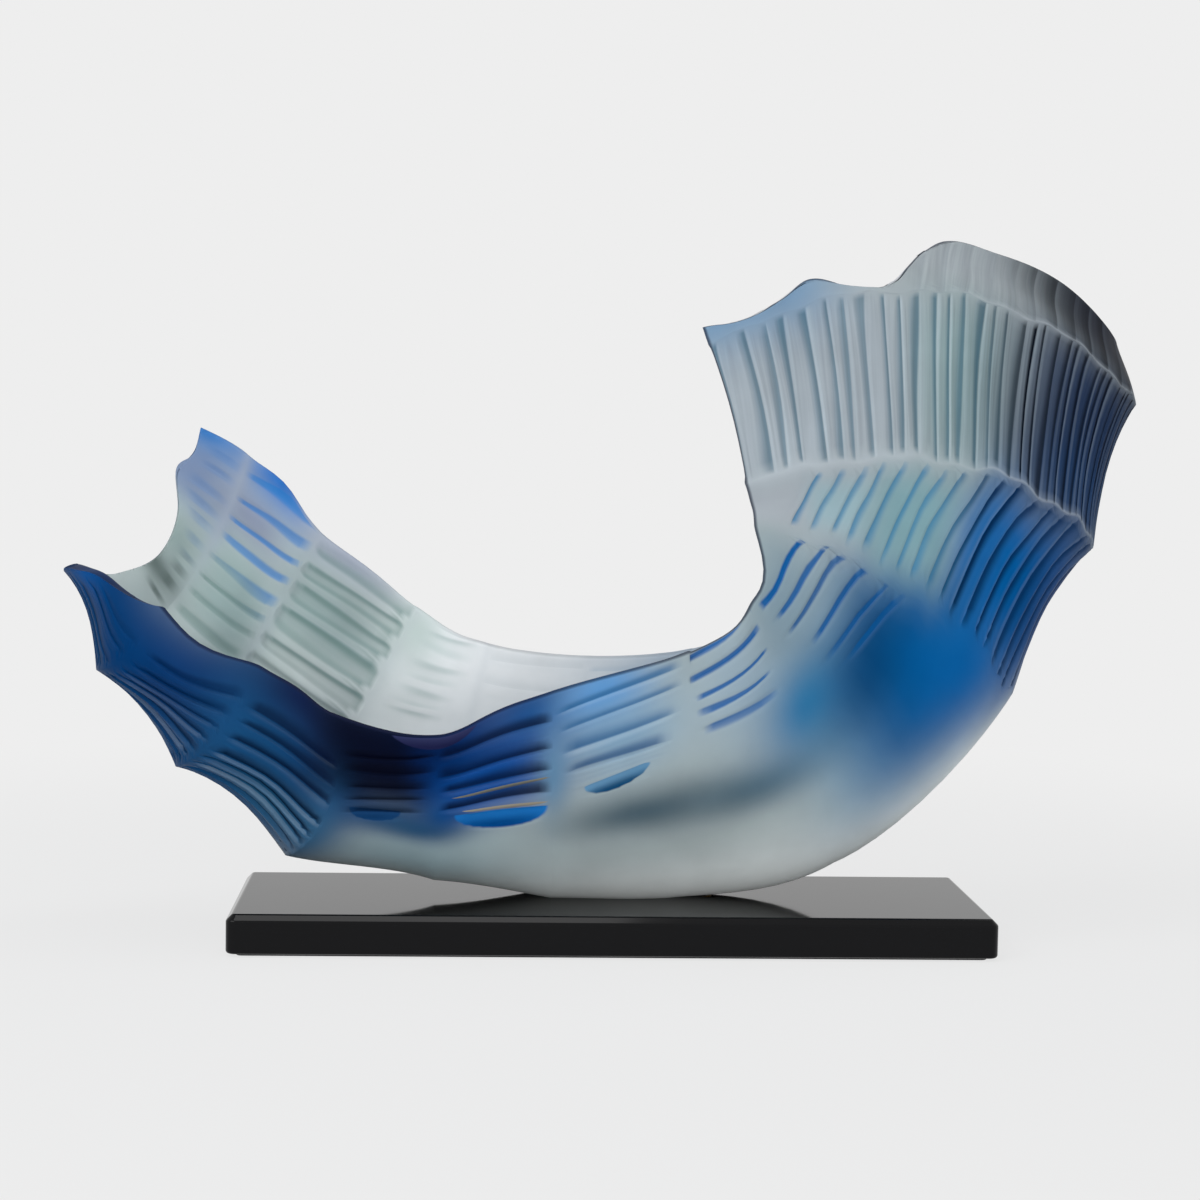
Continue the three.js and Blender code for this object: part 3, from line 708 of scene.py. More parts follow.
@dataclass(frozen=True)
class ShellForm:
    """The shell's surface, in millimetres over the plinth.

    Attributes:
        front_roundness: Superellipse power of the cross-section in front.
        back_roundness: The same behind.
        rim_wall: Wall at the rims.
        body_wall: Wall below the rims.
        keel_wall: Wall along the keel.
        belly_wall: Wall over the pockets of the inserts.
        rim_reach: Girth shares over which the wall grows from the rims.
        belly_start: Lengths over which the belly thickens.
        belly_end: Lengths over which it thins out.
        belly_reach: Girth shares from the rim over which it thickens.
        arc_steps: Steps that measure a cross-section's arc.
    """

    front_roundness: float = 2.3
    back_roundness: float = 2.2
    rim_wall: float = 4.0
    body_wall: float = 7.0
    keel_wall: float = 8.0
    belly_wall: float = 20.9
    rim_reach: Span = (0.0, 0.16)
    belly_start: Span = (3.2, 4.6)
    belly_end: Span = (6.8, 8.2)
    belly_reach: Span = (0.55, 0.9)
    arc_steps: int = 48

    def line(self, nominal: float, girth: Array, face: Face) -> Places:
        """Places of a line across a face, with the end bays cut back to the wavy edges.

        Args:
            nominal: Length of the line before the cut.
            girth: Its stops.
            face: Outer or inner face.

        Returns:
            The places on the loft.
        """
        left = 1 - (1 - nominal) * eased(LEFT_EDGE, girth)
        right = LAST_BAY + (nominal - LAST_BAY) * eased(RIGHT_EDGE, girth)
        length = np.where(nominal < 1, left, np.where(nominal > LAST_BAY, right, nominal))
        return Places(length, girth, face)

    def loft(self, length: Array, girth: Array) -> Array:
        """Points of the plain loft, spaced evenly along the arc from the keel to either rim.

        Args:
            length: Length on the loft.
            girth: Girth of the same places.

        Returns:
            One point for each place.
        """
        front = girth < 0
        keels, fronts, backs, bows = (
            [getattr(section, name) for section in SECTIONS] for name in ("keel", "front", "back", "arch")
        )
        keel, arches = through(keels, length), through(bows, length)
        rim = np.where(front[:, None], through(fronts, length), through(backs, length))
        arch = np.where(front, arches[:, 0], arches[:, 1])
        ends = [np.clip(length + step, 0, len(BAYS)) for step in (-KEEL_STEP, KEEL_STEP)]
        forward = unit((through(keels, ends[1]) - through(keels, ends[0])) * (1, 0, 1))
        power = 2 / np.where(front, self.front_roundness, self.back_roundness)[:, None]
        angle = np.linspace(0, np.pi / 2, self.arc_steps + 1)[None, :]
        out = np.sin(angle) ** power
        up = 1 - np.clip(np.cos(angle), 0, 1) ** power
        points = keel[:, None] + np.stack([up, out, up], -1) * (rim - keel)[:, None]
        points += (4 * up * (1 - up) * arch[:, None])[..., None] * forward[:, None]
        steps = np.linalg.norm(np.diff(points, axis=1), axis=2)
        arcs = np.concatenate([np.zeros((len(length), 1)), np.cumsum(steps, 1)], 1)
        wanted = np.abs(girth) * arcs[:, -1]
        at = np.clip((arcs <= wanted[:, None]).sum(1) - 1, 0, self.arc_steps - 1)
        row = np.arange(len(length))
        share = ((wanted - arcs[row, at]) / (arcs[row, at + 1] - arcs[row, at]))[:, None]
        place = mix(points[row, at], points[row, at + 1], share)
        bay = np.clip(np.floor(length).astype(int), 0, LAST_BAY)
        draws = np.array([form.draw for form in BAYS])[bay]
        draw = np.where(front, draws[:, 0], draws[:, 1])
        drawn = draw * np.sin(np.pi * (length - bay)) ** 2 * np.abs(girth) ** 3
        return place - unit((rim - keel) * (1, 0, 1)) * drawn[:, None]

    def normal(self, length: Array, girth: Array) -> Array:
        """Outward normals of the plain loft.

        Args:
            length: Length on the loft.
            girth: Girth of the same places.

        Returns:
            One unit vector for each place.
        """
        low, high = (np.clip(length + step, 0, len(BAYS)) for step in (-NORMAL_STEP, NORMAL_STEP))
        front, back = (np.clip(girth + step, -1, 1) for step in (-NORMAL_STEP, NORMAL_STEP))
        along = self.loft(high, girth) - self.loft(low, girth)
        across = self.loft(length, back) - self.loft(length, front)
        return unit(np.cross(across, along))

    def flutes(self, places: Places) -> FluteField:
        """Work out the flutes of all bays.

        Args:
            places: The places to work them out for.

        Returns:
            What the flutes do there.
        """
        count = len(places.length)
        field = FluteField(*(np.zeros((count, 3)) for _ in range(3)), np.zeros(count), np.zeros(count))
        for bay, run in enumerate(places.runs):
            here = places.bay == bay
            if here.any():
                found = self.cut_run(run, bay, places.chosen(here))
                for part in fields(FluteField):
                    getattr(field, part.name)[here] = getattr(found, part.name)
        return field

    def cut_run(self, run: Flutes, bay: int, places: Places) -> FluteField:
        """Work out the flutes of one bay.

        Args:
            run: The bay's run of flutes.
            bay: Number of the bay.
            places: Places in that bay.

        Returns:
            What the flutes do there.
        """
        along, down = places.along, places.down
        phase = run.phase(along, down, bay)
        cell = np.floor(phase + CUT_STYLES[run.cut].reach)
        left, right = self.flute_ends(run, bay, places, phase)
        starts, ends = smooth(left, left + run.soft, along), 1 - smooth(right - run.soft, right, along)
        last = run.count(run.last)
        in_run = window(RUN_START, (last + RUN_OUT[0], last + RUN_OUT[1]), phase)
        strength = starts * ends * in_run * self.room(places)
        turn = smooth(run.turn - TURN_HALF, run.turn + TURN_HALF, down)
        uneven_stain = STAIN_SCATTER[0] + STAIN_SCATTER[1] * scatter(cell, bay + STAIN_SEED)
        stain = mix(*run.stain, turn) * uneven_stain
        width = mix(*run.width, smooth(run.turn + WIDTH_TURN[0], WIDTH_TURN[1], down))
        pool = np.zeros_like(along)
        if run.cut is Cut.STROKE:
            width = width * mix(*run.taper, smooth(left, right, along))
        if run.cut is Cut.CHANNEL:
            pool = POOL * stain * strength * np.exp(-((right - POOL_REACH - along) / POOL_REACH) ** 2)
        hidden = places.girth > 0 if places.face is Face.OUTER else places.girth < 0
        vary = DEPTH_SCATTER[0] + DEPTH_SCATTER[1] * scatter(cell, bay + DEPTH_SEED)
        depth = run.depth * vary * np.where(hidden, HIDDEN_DEPTH, 1.0)
        return FluteField(
            run=np.stack([phase, strength, np.full_like(along, run.cut.value)], 1),
            finish=np.stack([width, stain, mix(*run.crest, turn)], 1),
            dye=mix(*(linear(colour)[:3] for colour in run.dyes), turn[:, None]),
            height=-depth * strength * run.profile(phase),
            pool=pool,
        )

    def flute_ends(self, run: Flutes, bay: int, places: Places, phase: Array) -> tuple[Array, Array]:
        """Work out where the flutes of one bay start and end.

        Args:
            run: The bay's run of flutes.
            bay: Number of the bay.
            places: Places in that bay.
            phase: Running groove count there.

        Returns:
            The start and the end at each place, as shares of the bay's length.
        """
        style = CUT_STYLES[run.cut]
        cell = np.floor(phase + style.reach)
        share = np.clip((places.down - run.first) / (run.last - run.first), 0, 1)
        off = 2 * np.abs(phase - cell - style.middle)
        round_end = style.round_end * (1 - np.sqrt(np.clip(1 - off ** 2, 0, 1)))
        left = mix(*run.left, share) + round_end + END_SCATTER * scatter(cell, bay + LEFT_SEED)
        right = mix(*run.right, share) - round_end - END_SCATTER * scatter(cell, bay + RIGHT_SEED)
        if bay == 0:
            left = 1 - eased(LEFT_EDGE, places.girth) + END_MARGIN
        if bay == LAST_BAY:
            right = eased(RIGHT_EDGE, places.girth)
        return left, right

    def along_flutes(self, places: Places) -> Array:
        """Shift the stops of a line so that the mesh runs along the flutes between the ridges.

        Args:
            places: Places of the line.

        Returns:
            The shifted girth.
        """
        slant, bow = np.array([(run.slant, run.bow) for run in places.runs])[places.bay].T
        shift = groove_shift(slant, bow, places.along) * window(*MESH_BAY, places.along)
        return np.sign(places.girth) * (1 - places.down - shift * window(*MESH_GIRTH, places.down))

    def wander(self, places: Places) -> Array:
        """Work out how far the hand-cut ridges of the fin wander along the shell.

        Args:
            places: The places to work it out for.

        Returns:
            Shifts of the length, in bays.
        """
        on_fin = window(FIN_START, FIN_END, places.length) * (1 - smooth(*FIN_RIMS, places.up))
        shift = np.zeros_like(places.length)
        for height, per_girth, per_bay in RIDGE_WAVES:
            shift += height * np.sin(2 * np.pi * (per_girth * places.girth + per_bay * places.length))
        return on_fin * shift

    def room(self, places: Places) -> Array:
        """Work out how far relief may build up where the end bays are cut to slivers.

        Args:
            places: The places to work it out for.

        Returns:
            Shares from 0 to 1.
        """
        left_room = smooth(*LEFT_ROOM, eased(LEFT_EDGE, places.girth))
        left = np.where(places.length < 1, left_room, 1.0)
        right_room = smooth(*RIGHT_ROOM, eased(RIGHT_EDGE, places.girth))
        right = np.where(places.length > LAST_BAY, right_room, 1.0)
        return left * right

    def scoops(self, places: Places) -> tuple[Array, Array, Array]:
        """Work out the half-moon scoops of the outer face.

        Args:
            places: The places to work them out for.

        Returns:
            How far inside a scoop each place is, less than 0 outside, the scoop's colour and its height.
        """
        count = len(places.length)
        inside, colour, height = np.full(count, -1.0), np.zeros((count, 3)), np.zeros(count)
        for scoop in SCOOPS:
            aside = places.length - scoop.along
            across = aside / scoop.half_length
            below = (places.down - scoop.top - scoop.slant * aside) / scoop.height
            bowl = 1 - across ** 2 - np.clip(below, 0, None) ** 2
            depth = np.clip(np.minimum(bowl, SCOOP_EDGE[0] * below + SCOOP_EDGE[1]), -1, 1)
            near = depth > inside
            top, low = (linear(shade)[:3] for shade in scoop.colours)
            colour[near] = mix(top, low, smooth(*SCOOP_SHADES, below)[:, None])[near]
            inside = np.maximum(inside, depth)
            share = np.clip(mix(SCOOP_TOP_DEPTH, 1.0, below), 0, 1)
            height = height - scoop.depth * smooth(*SCOOP_BANK, depth) * share
        return inside, colour, height

    def relief(self, places: Places) -> Array:
        """Work out the height of a face over the plain loft: the bay's hollow, its flutes and its scoops.

        Args:
            places: The places to work it out for.

        Returns:
            Heights in millimetres, outwards.
        """
        outer = places.face is Face.OUTER
        along = places.along / np.where(places.bay == LAST_BAY, LAST_BAY_SPAN, 1.0)
        sink, fade = np.array([(form.sink, form.fade) for form in BAYS])[places.bay].T
        soft = smooth(*HOLLOW_SOFTENS, places.up) * (fade if outer else 1.0)
        across = mix(4 * along * (1 - along), np.sin(np.pi * along) ** 2, soft)
        hollow = sink * across * (1 - fade * smooth(*HOLLOW_FADES, places.up)) * self.room(places)
        cut = self.flutes(places).height
        return -hollow + cut + self.scoops(places)[2] if outer else -hollow - cut

    def wall(self, places: Places) -> Array:
        """Work out the thickness of the wall.

        Args:
            places: The places to work it out for.

        Returns:
            Thicknesses in millimetres.
        """
        sides = mix(self.rim_wall, self.body_wall, smooth(*self.rim_reach, places.down))
        thin = mix(sides, self.keel_wall, places.down ** 2)
        belly = window(self.belly_start, self.belly_end, places.length)
        return mix(thin, self.belly_wall, belly * smooth(*self.belly_reach, places.down))

    def points(self, places: Places) -> Array:
        """Work out the points of a face; the outer face is flat where it stands on the plinth.

        Args:
            places: The places to work them out for.

        Returns:
            One point for each place, in millimetres.
        """
        outer = places.face is Face.OUTER
        height = self.relief(places) if outer else self.relief(places) - self.wall(places)
        length = places.length + self.wander(places)
        found = self.loft(length, places.girth) + self.normal(length, places.girth) * height[:, None]
        if outer:
            found[:, 2] = np.maximum(found[:, 2], 0)
        return found

    def tint(self, places: Places, flutes: FluteField) -> Array:
        """Work out the colour of the resin, with a painted highlight along the ridges.

        Args:
            places: The places to work it out for.
            flutes: What the flutes do there.

        Returns:
            Linear red, green and blue for each place.
        """
        outer = places.face is Face.OUTER
        length, up = places.length, places.up
        colour = np.tile(linear(PALE_RESIN if outer else WHITE_RESIN)[:3], (len(length), 1))
        for wash in OUTER_WASHES if outer else INNER_WASHES:
            far = np.abs((length - wash.along) / wash.reach[0]) ** wash.edge
            far = far + np.abs((up - wash.girth) / wash.reach[1]) ** wash.edge
            colour = mix(colour, linear(wash.colour)[:3], (wash.strength * np.exp(-far))[:, None])
        colour = mix(colour, flutes.dye, flutes.pool[:, None])
        # Painted highlight along the ridges: the colour is mixed towards a pale grey, a soft and a thin line
        # on the fin
        lower, upper = (np.abs(length - ridge) for ridge in FIN_RIDGES)
        thin = smooth(*LINE_TURN, places.down)
        ridge_highlight = mix(ridge_highlight_line(SOFT_LINE, lower), ridge_highlight_line(THIN_LINE, np.minimum(lower, upper)), thin)
        if not outer:
            ridge_highlight = ridge_highlight_line(INNER_LINE, np.abs(length - np.round(length)))
        return mix(colour, linear(RIDGE_HIGHLIGHT)[:3], ridge_highlight[:, None])


# Points round a hole and round one corner of a slab, and the least radius of a corner in millimetres
HOLE_POINTS = 48
CORNER_POINTS = 9
LEAST_CORNER = 1.0

# Radians that a wave texture turns through for each unit of its scale
WAVE_TURN = 20


def make_object(name: str, vertices: Array, faces: Faces) -> Piece:
    """Make a smooth mesh object in metres.

    Args:
        name: The piece's name.
        vertices: Its points, in metres.
        faces: Its faces.

    Returns:
        The object, linked to the scene.
    """
    mesh = bpy.data.meshes.new(name)
    mesh.from_pydata(vertices.tolist(), [], faces)
    mesh.update()
    mesh.polygons.foreach_set("use_smooth", [True] * len(mesh.polygons))
    made = bpy.data.objects.new(name, mesh)
    bpy.context.scene.collection.objects.link(made)
    return made


def apply_modifiers(piece: Piece) -> None:
    """Replace a piece's mesh by the result of its modifiers.

    Args:
        piece: The piece to settle.
    """
    graph = bpy.context.evaluated_depsgraph_get()
    settled = bpy.data.meshes.new_from_object(piece.evaluated_get(graph))
    piece.modifiers.clear()
    piece.data = settled


def lofted(name: str, rings: Sequence[Array]) -> Piece:
    """Make a closed piece from rings of points.

    Args:
        name: The piece's name.
        rings: Rings of as many points each, from the lowest to the highest, in metres.

    Returns:
        The piece.
    """
    size = len(rings[0])
    faces: Faces = [tuple(reversed(range(size)))]
    for start in range(0, size * (len(rings) - 1), size):
        for at in range(size):
            here, ahead = start + at, start + (at + 1) % size
            faces.append((here, ahead, ahead + size, here + size))
    faces.append(tuple(range(size * (len(rings) - 1), size * len(rings))))
    return make_object(name, np.vstack(rings), faces)


def cut_round_holes(piece: Piece, holes: Sequence[tuple[Point, float, float]]) -> None:
    """Cut upright round holes into a piece.

    Args:
        piece: The piece to cut.
        holes: For each hole the middle of its foot, its radius and its height, in metres.
    """
    turn = np.linspace(0, 2 * np.pi, HOLE_POINTS, endpoint=False)
    for (x, y, z), radius, height in holes:
        ring = np.stack([x + radius * np.cos(turn), y + radius * np.sin(turn), np.full_like(turn, z)], 1)
        cutter = lofted("cutter", [ring, ring + (0, 0, height)])
        cut = piece.modifiers.new("hole", "BOOLEAN")
        cut.operation = "DIFFERENCE"
        cut.solver = "MANIFOLD"
        cut.object = cutter
        apply_modifiers(piece)
        bpy.data.objects.remove(cutter)


def rounded_slab(name: str, low: Vector, high: Vector, corner: float, levels: Sequence[Span]) -> Piece:
    """Loft a slab with round corners.

    Args:
        name: The piece's name.
        low: Lowest corner of its box, in metres.
        high: Highest corner.
        corner: Radius of its upright corners, in millimetres.
        levels: Heights in metres, each with an inset in millimetres.

    Returns:
        The slab.
    """
    middle = (low + high) / 2
    rings = []
    for height, inset in levels:
        radius = max(LEAST_CORNER, corner - inset) * MM
        half_x, half_y = ((high[axis] - low[axis]) / 2 - inset * MM - radius for axis in (0, 1))
        ring = []
        for quarter, (side_x, side_y) in enumerate(((1, 1), (-1, 1), (-1, -1), (1, -1))):
            turn = np.linspace(0, np.pi / 2, CORNER_POINTS) + quarter * np.pi / 2
            x = middle.x + side_x * half_x + radius * np.cos(turn)
            y = middle.y + side_y * half_y + radius * np.sin(turn)
            ring.append(np.stack([x, y, np.full_like(turn, height)], 1))
        rings.append(np.vstack(ring))
    return lofted(name, rings)


@dataclass(frozen=True)
class Finish:
    """What a piece is made of and how its surface was worked."""

    name: str

    def surface(self, tree: Tree) -> Any:
        """Add the nodes of the surface and return its shader."""
        raise NotImplementedError

    def material(self) -> bpy.types.Material:
        """Make the node material.

        Returns:
            A new material with the finish's name.
        """
        material, tree = new_material(self.name)
        add_node(tree, "OutputMaterial", [self.surface(tree)])
        return material


# Cast resin, tinted in the mass and blasted matt: soft light comes back from under the surface, the dye pools
# in the grooves, with painted shade under the pleats' ledges and on the channels' upper walls, and a low
# satin sheen lies along the crests, with a painted highlight on them.
@dataclass(frozen=True)
class TintedCastResin(Finish):
    """Tinted cast resin with a blasted satin face. Tones across a flute are shares of the pitch.

    A range is two tones of a pattern, and what it gives at each of them.

    Attributes:
        roughness: Mean roughness.
        cloud_rough: How far clouds in the resin raise and lower it.
        ior: Index of refraction.
        gloss: Strength of the sheen.
        glow: Share of light that comes back from under the surface.
        glow_mm: Depth that this light reaches.
        crest_highlight: Colour of the painted highlight on a crest.
        core: Share of a stroke's width that is dyed evenly.
        ledge: How far a pleat's ledge is set off from its groove.
        ledge_dye_and_shade: Dye and painted shade on the ledge.
        pleat_dye_and_shade: Where a pleat's dye and painted shade begin, before the width is taken off, and
            are full.
        land_dye_and_shade: Dye and painted shade beside the land between channels.
        floor_dye_and_shade: Dye and painted shade from there to the channel's middle.
        channel_lean: Slope and start of a channel's dye and painted shade from its upper to its lower side.
        crest: How the painted highlight fades from a crest.
        scoop: How the dye of a scoop comes in from its edge.
        brush: Brush marks for each groove.
        brush_drag: How much slower the marks change along a bay.
        streaks: Dye in the streaks of the brush.
        glints: Painted highlight in the streaks of the brush.
        hairs: Brush hairs for each mark.
        hair_shade: Shade of the hairs.
        hair_bays: Lengths in bays over which the hairs come in.
        cloud_mm: Size of the clouds.
        cloud_shade: Shade of the clouds.
        blast_mm: Size of the blasted grain, coarser than the real grit so that it shows.
        blast_bump: Strength of the grain.
        blast_depth_mm: Its depth.
    """

    name: str = "tinted_cast_resin"
    roughness: float = 0.48
    cloud_rough: float = 0.05
    ior: float = 1.5
    gloss: float = 0.03
    glow: float = 0.15
    glow_mm: float = 2.0
    crest_highlight: str = "#b8c6ce"
    core: float = 0.4
    ledge: float = 0.07
    ledge_dye_and_shade: Range = (0.94, 1.0, 1.0, 0.0)
    pleat_dye_and_shade: Span = (0.92, 0.9)
    land_dye_and_shade: Range = (0.08, 0.22, 0.0, 1.0)
    floor_dye_and_shade: Range = (0.24, 0.46, 1.0, 0.28)
    channel_lean: Span = (-0.6, 1.1)
    crest: Range = (0.02, 0.3, 1.0, 0.0)
    scoop: Range = (0.0, 0.16, 0.0, 1.0)
    brush: float = 1.6
    brush_drag: float = 0.15
    streaks: Range = (0.32, 0.6, 0.8, 1.0)
    glints: Range = (0.4, 0.62, 0.0, 1.0)
    hairs: float = 3.0
    hair_shade: Range = (0.3, 0.65, 0.86, 1.05)
    hair_bays: Range = (8.9, 9.05, 0.0, 1.0)
    cloud_mm: float = 42.0
    cloud_shade: Range = (0.3, 0.7, 0.92, 1.06)
    blast_mm: float = 0.9
    blast_bump: float = 0.12
    blast_depth_mm: float = 0.1

    def dye_and_shade_share(self, tree: Tree, phase: Any, below: Any, width: Any, cut: Any) -> Any:
        """Add the nodes for the dye across a flute, with painted shade under a pleat's ledge and in a
        channel.

        Args:
            tree: Node tree of the material.
            phase: Socket with the running groove count.
            below: Node with the place across the flute, counted from its ledge.
            width: Socket with the reach of the dye.
            cut: Socket with the number of the cut.

        Returns:
            The node with the share of dye and painted shade.
        """
        step = {"interpolation_type": "SMOOTHSTEP"}
        to_groove = add_node(tree, "Math", [phase, 0.5], operation="PINGPONG")
        core = add_node(tree, "Math", [width, self.core], operation="MULTIPLY")
        in_stroke = add_node(tree, "MapRange", [to_groove, core, width, 1.0, 0.0], **step)
        start = add_node(tree, "Math", [self.pleat_dye_and_shade[0], width], operation="SUBTRACT")
        darkening = add_node(tree, "MapRange", [below, start, self.pleat_dye_and_shade[1]], **step)
        ledge = add_node(tree, "MapRange", [below, *self.ledge_dye_and_shade], **step)
        in_pleat = add_node(tree, "Math", [darkening, ledge], operation="MULTIPLY")
        off_land = add_node(tree, "MapRange", [to_groove, *self.land_dye_and_shade], **step)
        to_middle = add_node(tree, "MapRange", [to_groove, *self.floor_dye_and_shade], **step)
        outlined = add_node(tree, "Math", [off_land, to_middle], operation="MULTIPLY")
        leaning = add_node(tree, "Math", [below, *self.channel_lean], operation="MULTIPLY_ADD")
        in_channel = add_node(tree, "Math", [outlined, leaning], operation="MULTIPLY")
        stroke_or_pleat = add_node(tree, "Mix", [cut, in_stroke, in_pleat])
        channelled = add_node(tree, "Math", [cut, 1.0], operation="SUBTRACT")
        return add_node(tree, "Mix", [channelled, stroke_or_pleat, in_channel])

    def surface(self, tree: Tree) -> Any:
        """Add the nodes, which read the shell's own dye and flute attributes.

        Args:
            tree: Node tree of the material.

        Returns:
            The shader.
        """
        step, rgba = {"interpolation_type": "SMOOTHSTEP"}, {"data_type": "RGBA"}
        tint, dye, run, finish, scoop_colour, scoop, along = (
            add_node(tree, "Attribute", attribute_name=name) for name in SHELL_ATTRIBUTES
        )
        place = add_node(tree, "TexCoord").outputs["Object"]
        phase, strength, cut = add_node(tree, "SeparateXYZ", [run.outputs["Vector"]]).outputs
        width, stain, crest = add_node(tree, "SeparateXYZ", [finish.outputs["Vector"]]).outputs
        past_ledge = add_node(tree, "Math", [phase, self.ledge], operation="SUBTRACT")
        below = add_node(tree, "Math", [past_ledge], operation="FRACT")
        # Dye in the grooves, with painted shade under the pleats' ledges and on the channels' upper walls,
        # scaled below by the stain
        dark = self.dye_and_shade_share(tree, phase, below, width, cut)
        strong = add_node(tree, "Math", [dark, strength], operation="MULTIPLY")
        slowly = add_node(tree, "Math", [along.outputs["Fac"], self.brush_drag], operation="MULTIPLY")
        marks = add_node(tree, "CombineXYZ", [phase, slowly])
        brush = add_node(tree, "TexNoise", {"Vector": marks, "Scale": self.brush, "Detail": 3.0})
        streaks = add_node(tree, "MapRange", [brush, *self.streaks])
        stained = add_node(tree, "Math", [stain, streaks], operation="MULTIPLY")
        pooled = add_node(tree, "Math", [strong, stained], operation="MULTIPLY")
        in_scoop = add_node(tree, "MapRange", [scoop.outputs["Fac"], *self.scoop], **step)
        scooped = add_node(tree, "Mix", [in_scoop, tint, scoop_colour], **rgba)
        dyed = add_node(tree, "Mix", [pooled, scooped, dye], **rgba)
        # Painted highlight: the crest just past each ledge is mixed towards a pale colour, most where the
        # brush streaks glint
        on_crest = add_node(tree, "MapRange", [below, *self.crest], **step)
        crest_highlight = add_node(tree, "Math", [on_crest, strength], operation="MULTIPLY")
        glints = add_node(tree, "MapRange", [brush, *self.glints])
        highlight_in_streaks = add_node(tree, "Math", [crest, glints], operation="MULTIPLY")
        painted_highlight_share = add_node(tree, "Math", [crest_highlight, highlight_in_streaks], operation="MULTIPLY")
        highlighted = add_node(tree, "Mix", [painted_highlight_share, dyed, linear(self.crest_highlight)], **rgba)
        clouds = add_node(tree, "TexNoise", {"Vector": place, "Scale": per_mm(self.cloud_mm), "Detail": 4.0})
        cloudy = add_node(tree, "MapRange", [clouds, *self.cloud_shade])
        clouded = add_node(tree, "Mix", [1.0, highlighted, cloudy], **rgba, blend_type="MULTIPLY")
        hair_scale = self.hairs * self.brush
        hairs = add_node(
            tree, "TexNoise", {"Vector": marks, "Scale": hair_scale, "Detail": 2.0, "Roughness": 0.6}
        )
        hair_tone = add_node(tree, "MapRange", [hairs, *self.hair_shade])
        on_fin = add_node(tree, "MapRange", [along.outputs["Fac"], *self.hair_bays])
        brushed = add_node(tree, "Math", [strength, on_fin], operation="MULTIPLY")
        colour = add_node(tree, "Mix", [brushed, clouded, hair_tone], **rgba, blend_type="MULTIPLY")
        rough_range = (self.roughness - self.cloud_rough, self.roughness + self.cloud_rough)
        rough = add_node(tree, "MapRange", [clouds, 0.0, 1.0, *rough_range])
        blast = add_node(tree, "TexNoise", {"Vector": place, "Scale": per_mm(self.blast_mm), "Detail": 2.0})
        bump = add_node(
            tree, "Bump", {"Strength": self.blast_bump, "Distance": self.blast_depth_mm * MM, "Height": blast}
        )
        return add_node(tree, "BsdfPrincipled", {
            "Base Color": colour, "Roughness": rough, "IOR": self.ior, "Specular IOR Level": self.gloss,
            "Subsurface Weight": self.glow, "Subsurface Radius": (1.0, 1.0, 1.0),
            "Subsurface Scale": self.glow_mm * MM, "Normal": bump,
        })


# Black acrylic, sawn, bevelled and flame polished: a deep black that mirrors the room at a low angle, with a
# few hairline scuffs on top.
@dataclass(frozen=True)
class PolishedBlackAcrylic(Finish):
    """Flame-polished black acrylic.

    Attributes:
        colour: Its colour.
        roughness: Roughness where it is clean.
        haze: What a haze adds to it at most.
        ior: Index of refraction.
        gloss: Strength of the mirror.
        haze_mm: Size of the hazy patches.
        scuff_mm: Width of a scuff.
        scuff_turn: Direction of the scuffs.
        scuff_stretch: Width of a scuff as a share of its length.
        scuffs: Tones of the scuffs that show, and what they add to the roughness.
    """

    name: str = "polished_black_acrylic"
    colour: str = "#08080a"
    roughness: float = 0.04
    haze: float = 0.05
    ior: float = 1.45
    gloss: float = 0.18
    haze_mm: float = 60.0
    scuff_mm: float = 1.4
    scuff_turn: float = 0.4
    scuff_stretch: float = 0.04
    scuffs: Range = (0.66, 0.8, 0.0, 0.03)

    def surface(self, tree: Tree) -> Any:
        """Add the nodes of the polished face.

        Args:
            tree: Node tree of the material.

        Returns:
            The shader.
        """
        place = add_node(tree, "TexCoord").outputs["Object"]
        haze = add_node(tree, "TexNoise", {"Vector": place, "Scale": per_mm(self.haze_mm), "Detail": 5.0})
        stretched = add_node(tree, "Mapping", {
            "Vector": place, "Rotation": (0.0, 0.0, self.scuff_turn), "Scale": (self.scuff_stretch, 1.0, 1.0),
        })
        scuff_scale = per_mm(self.scuff_mm)
        scuffs = add_node(tree, "TexNoise", {"Vector": stretched, "Scale": scuff_scale, "Detail": 2.0})
        rare = add_node(tree, "MapRange", [scuffs, *self.scuffs])
        rough = add_node(tree, "MapRange", [haze, 0.0, 1.0, self.roughness, self.roughness + self.haze])
        scuffed = add_node(tree, "Math", [rough, rare], operation="ADD")
        return add_node(tree, "BsdfPrincipled", {
            "Base Color": linear(self.colour), "Roughness": scuffed, "IOR": self.ior,
            "Specular IOR Level": self.gloss,
        })


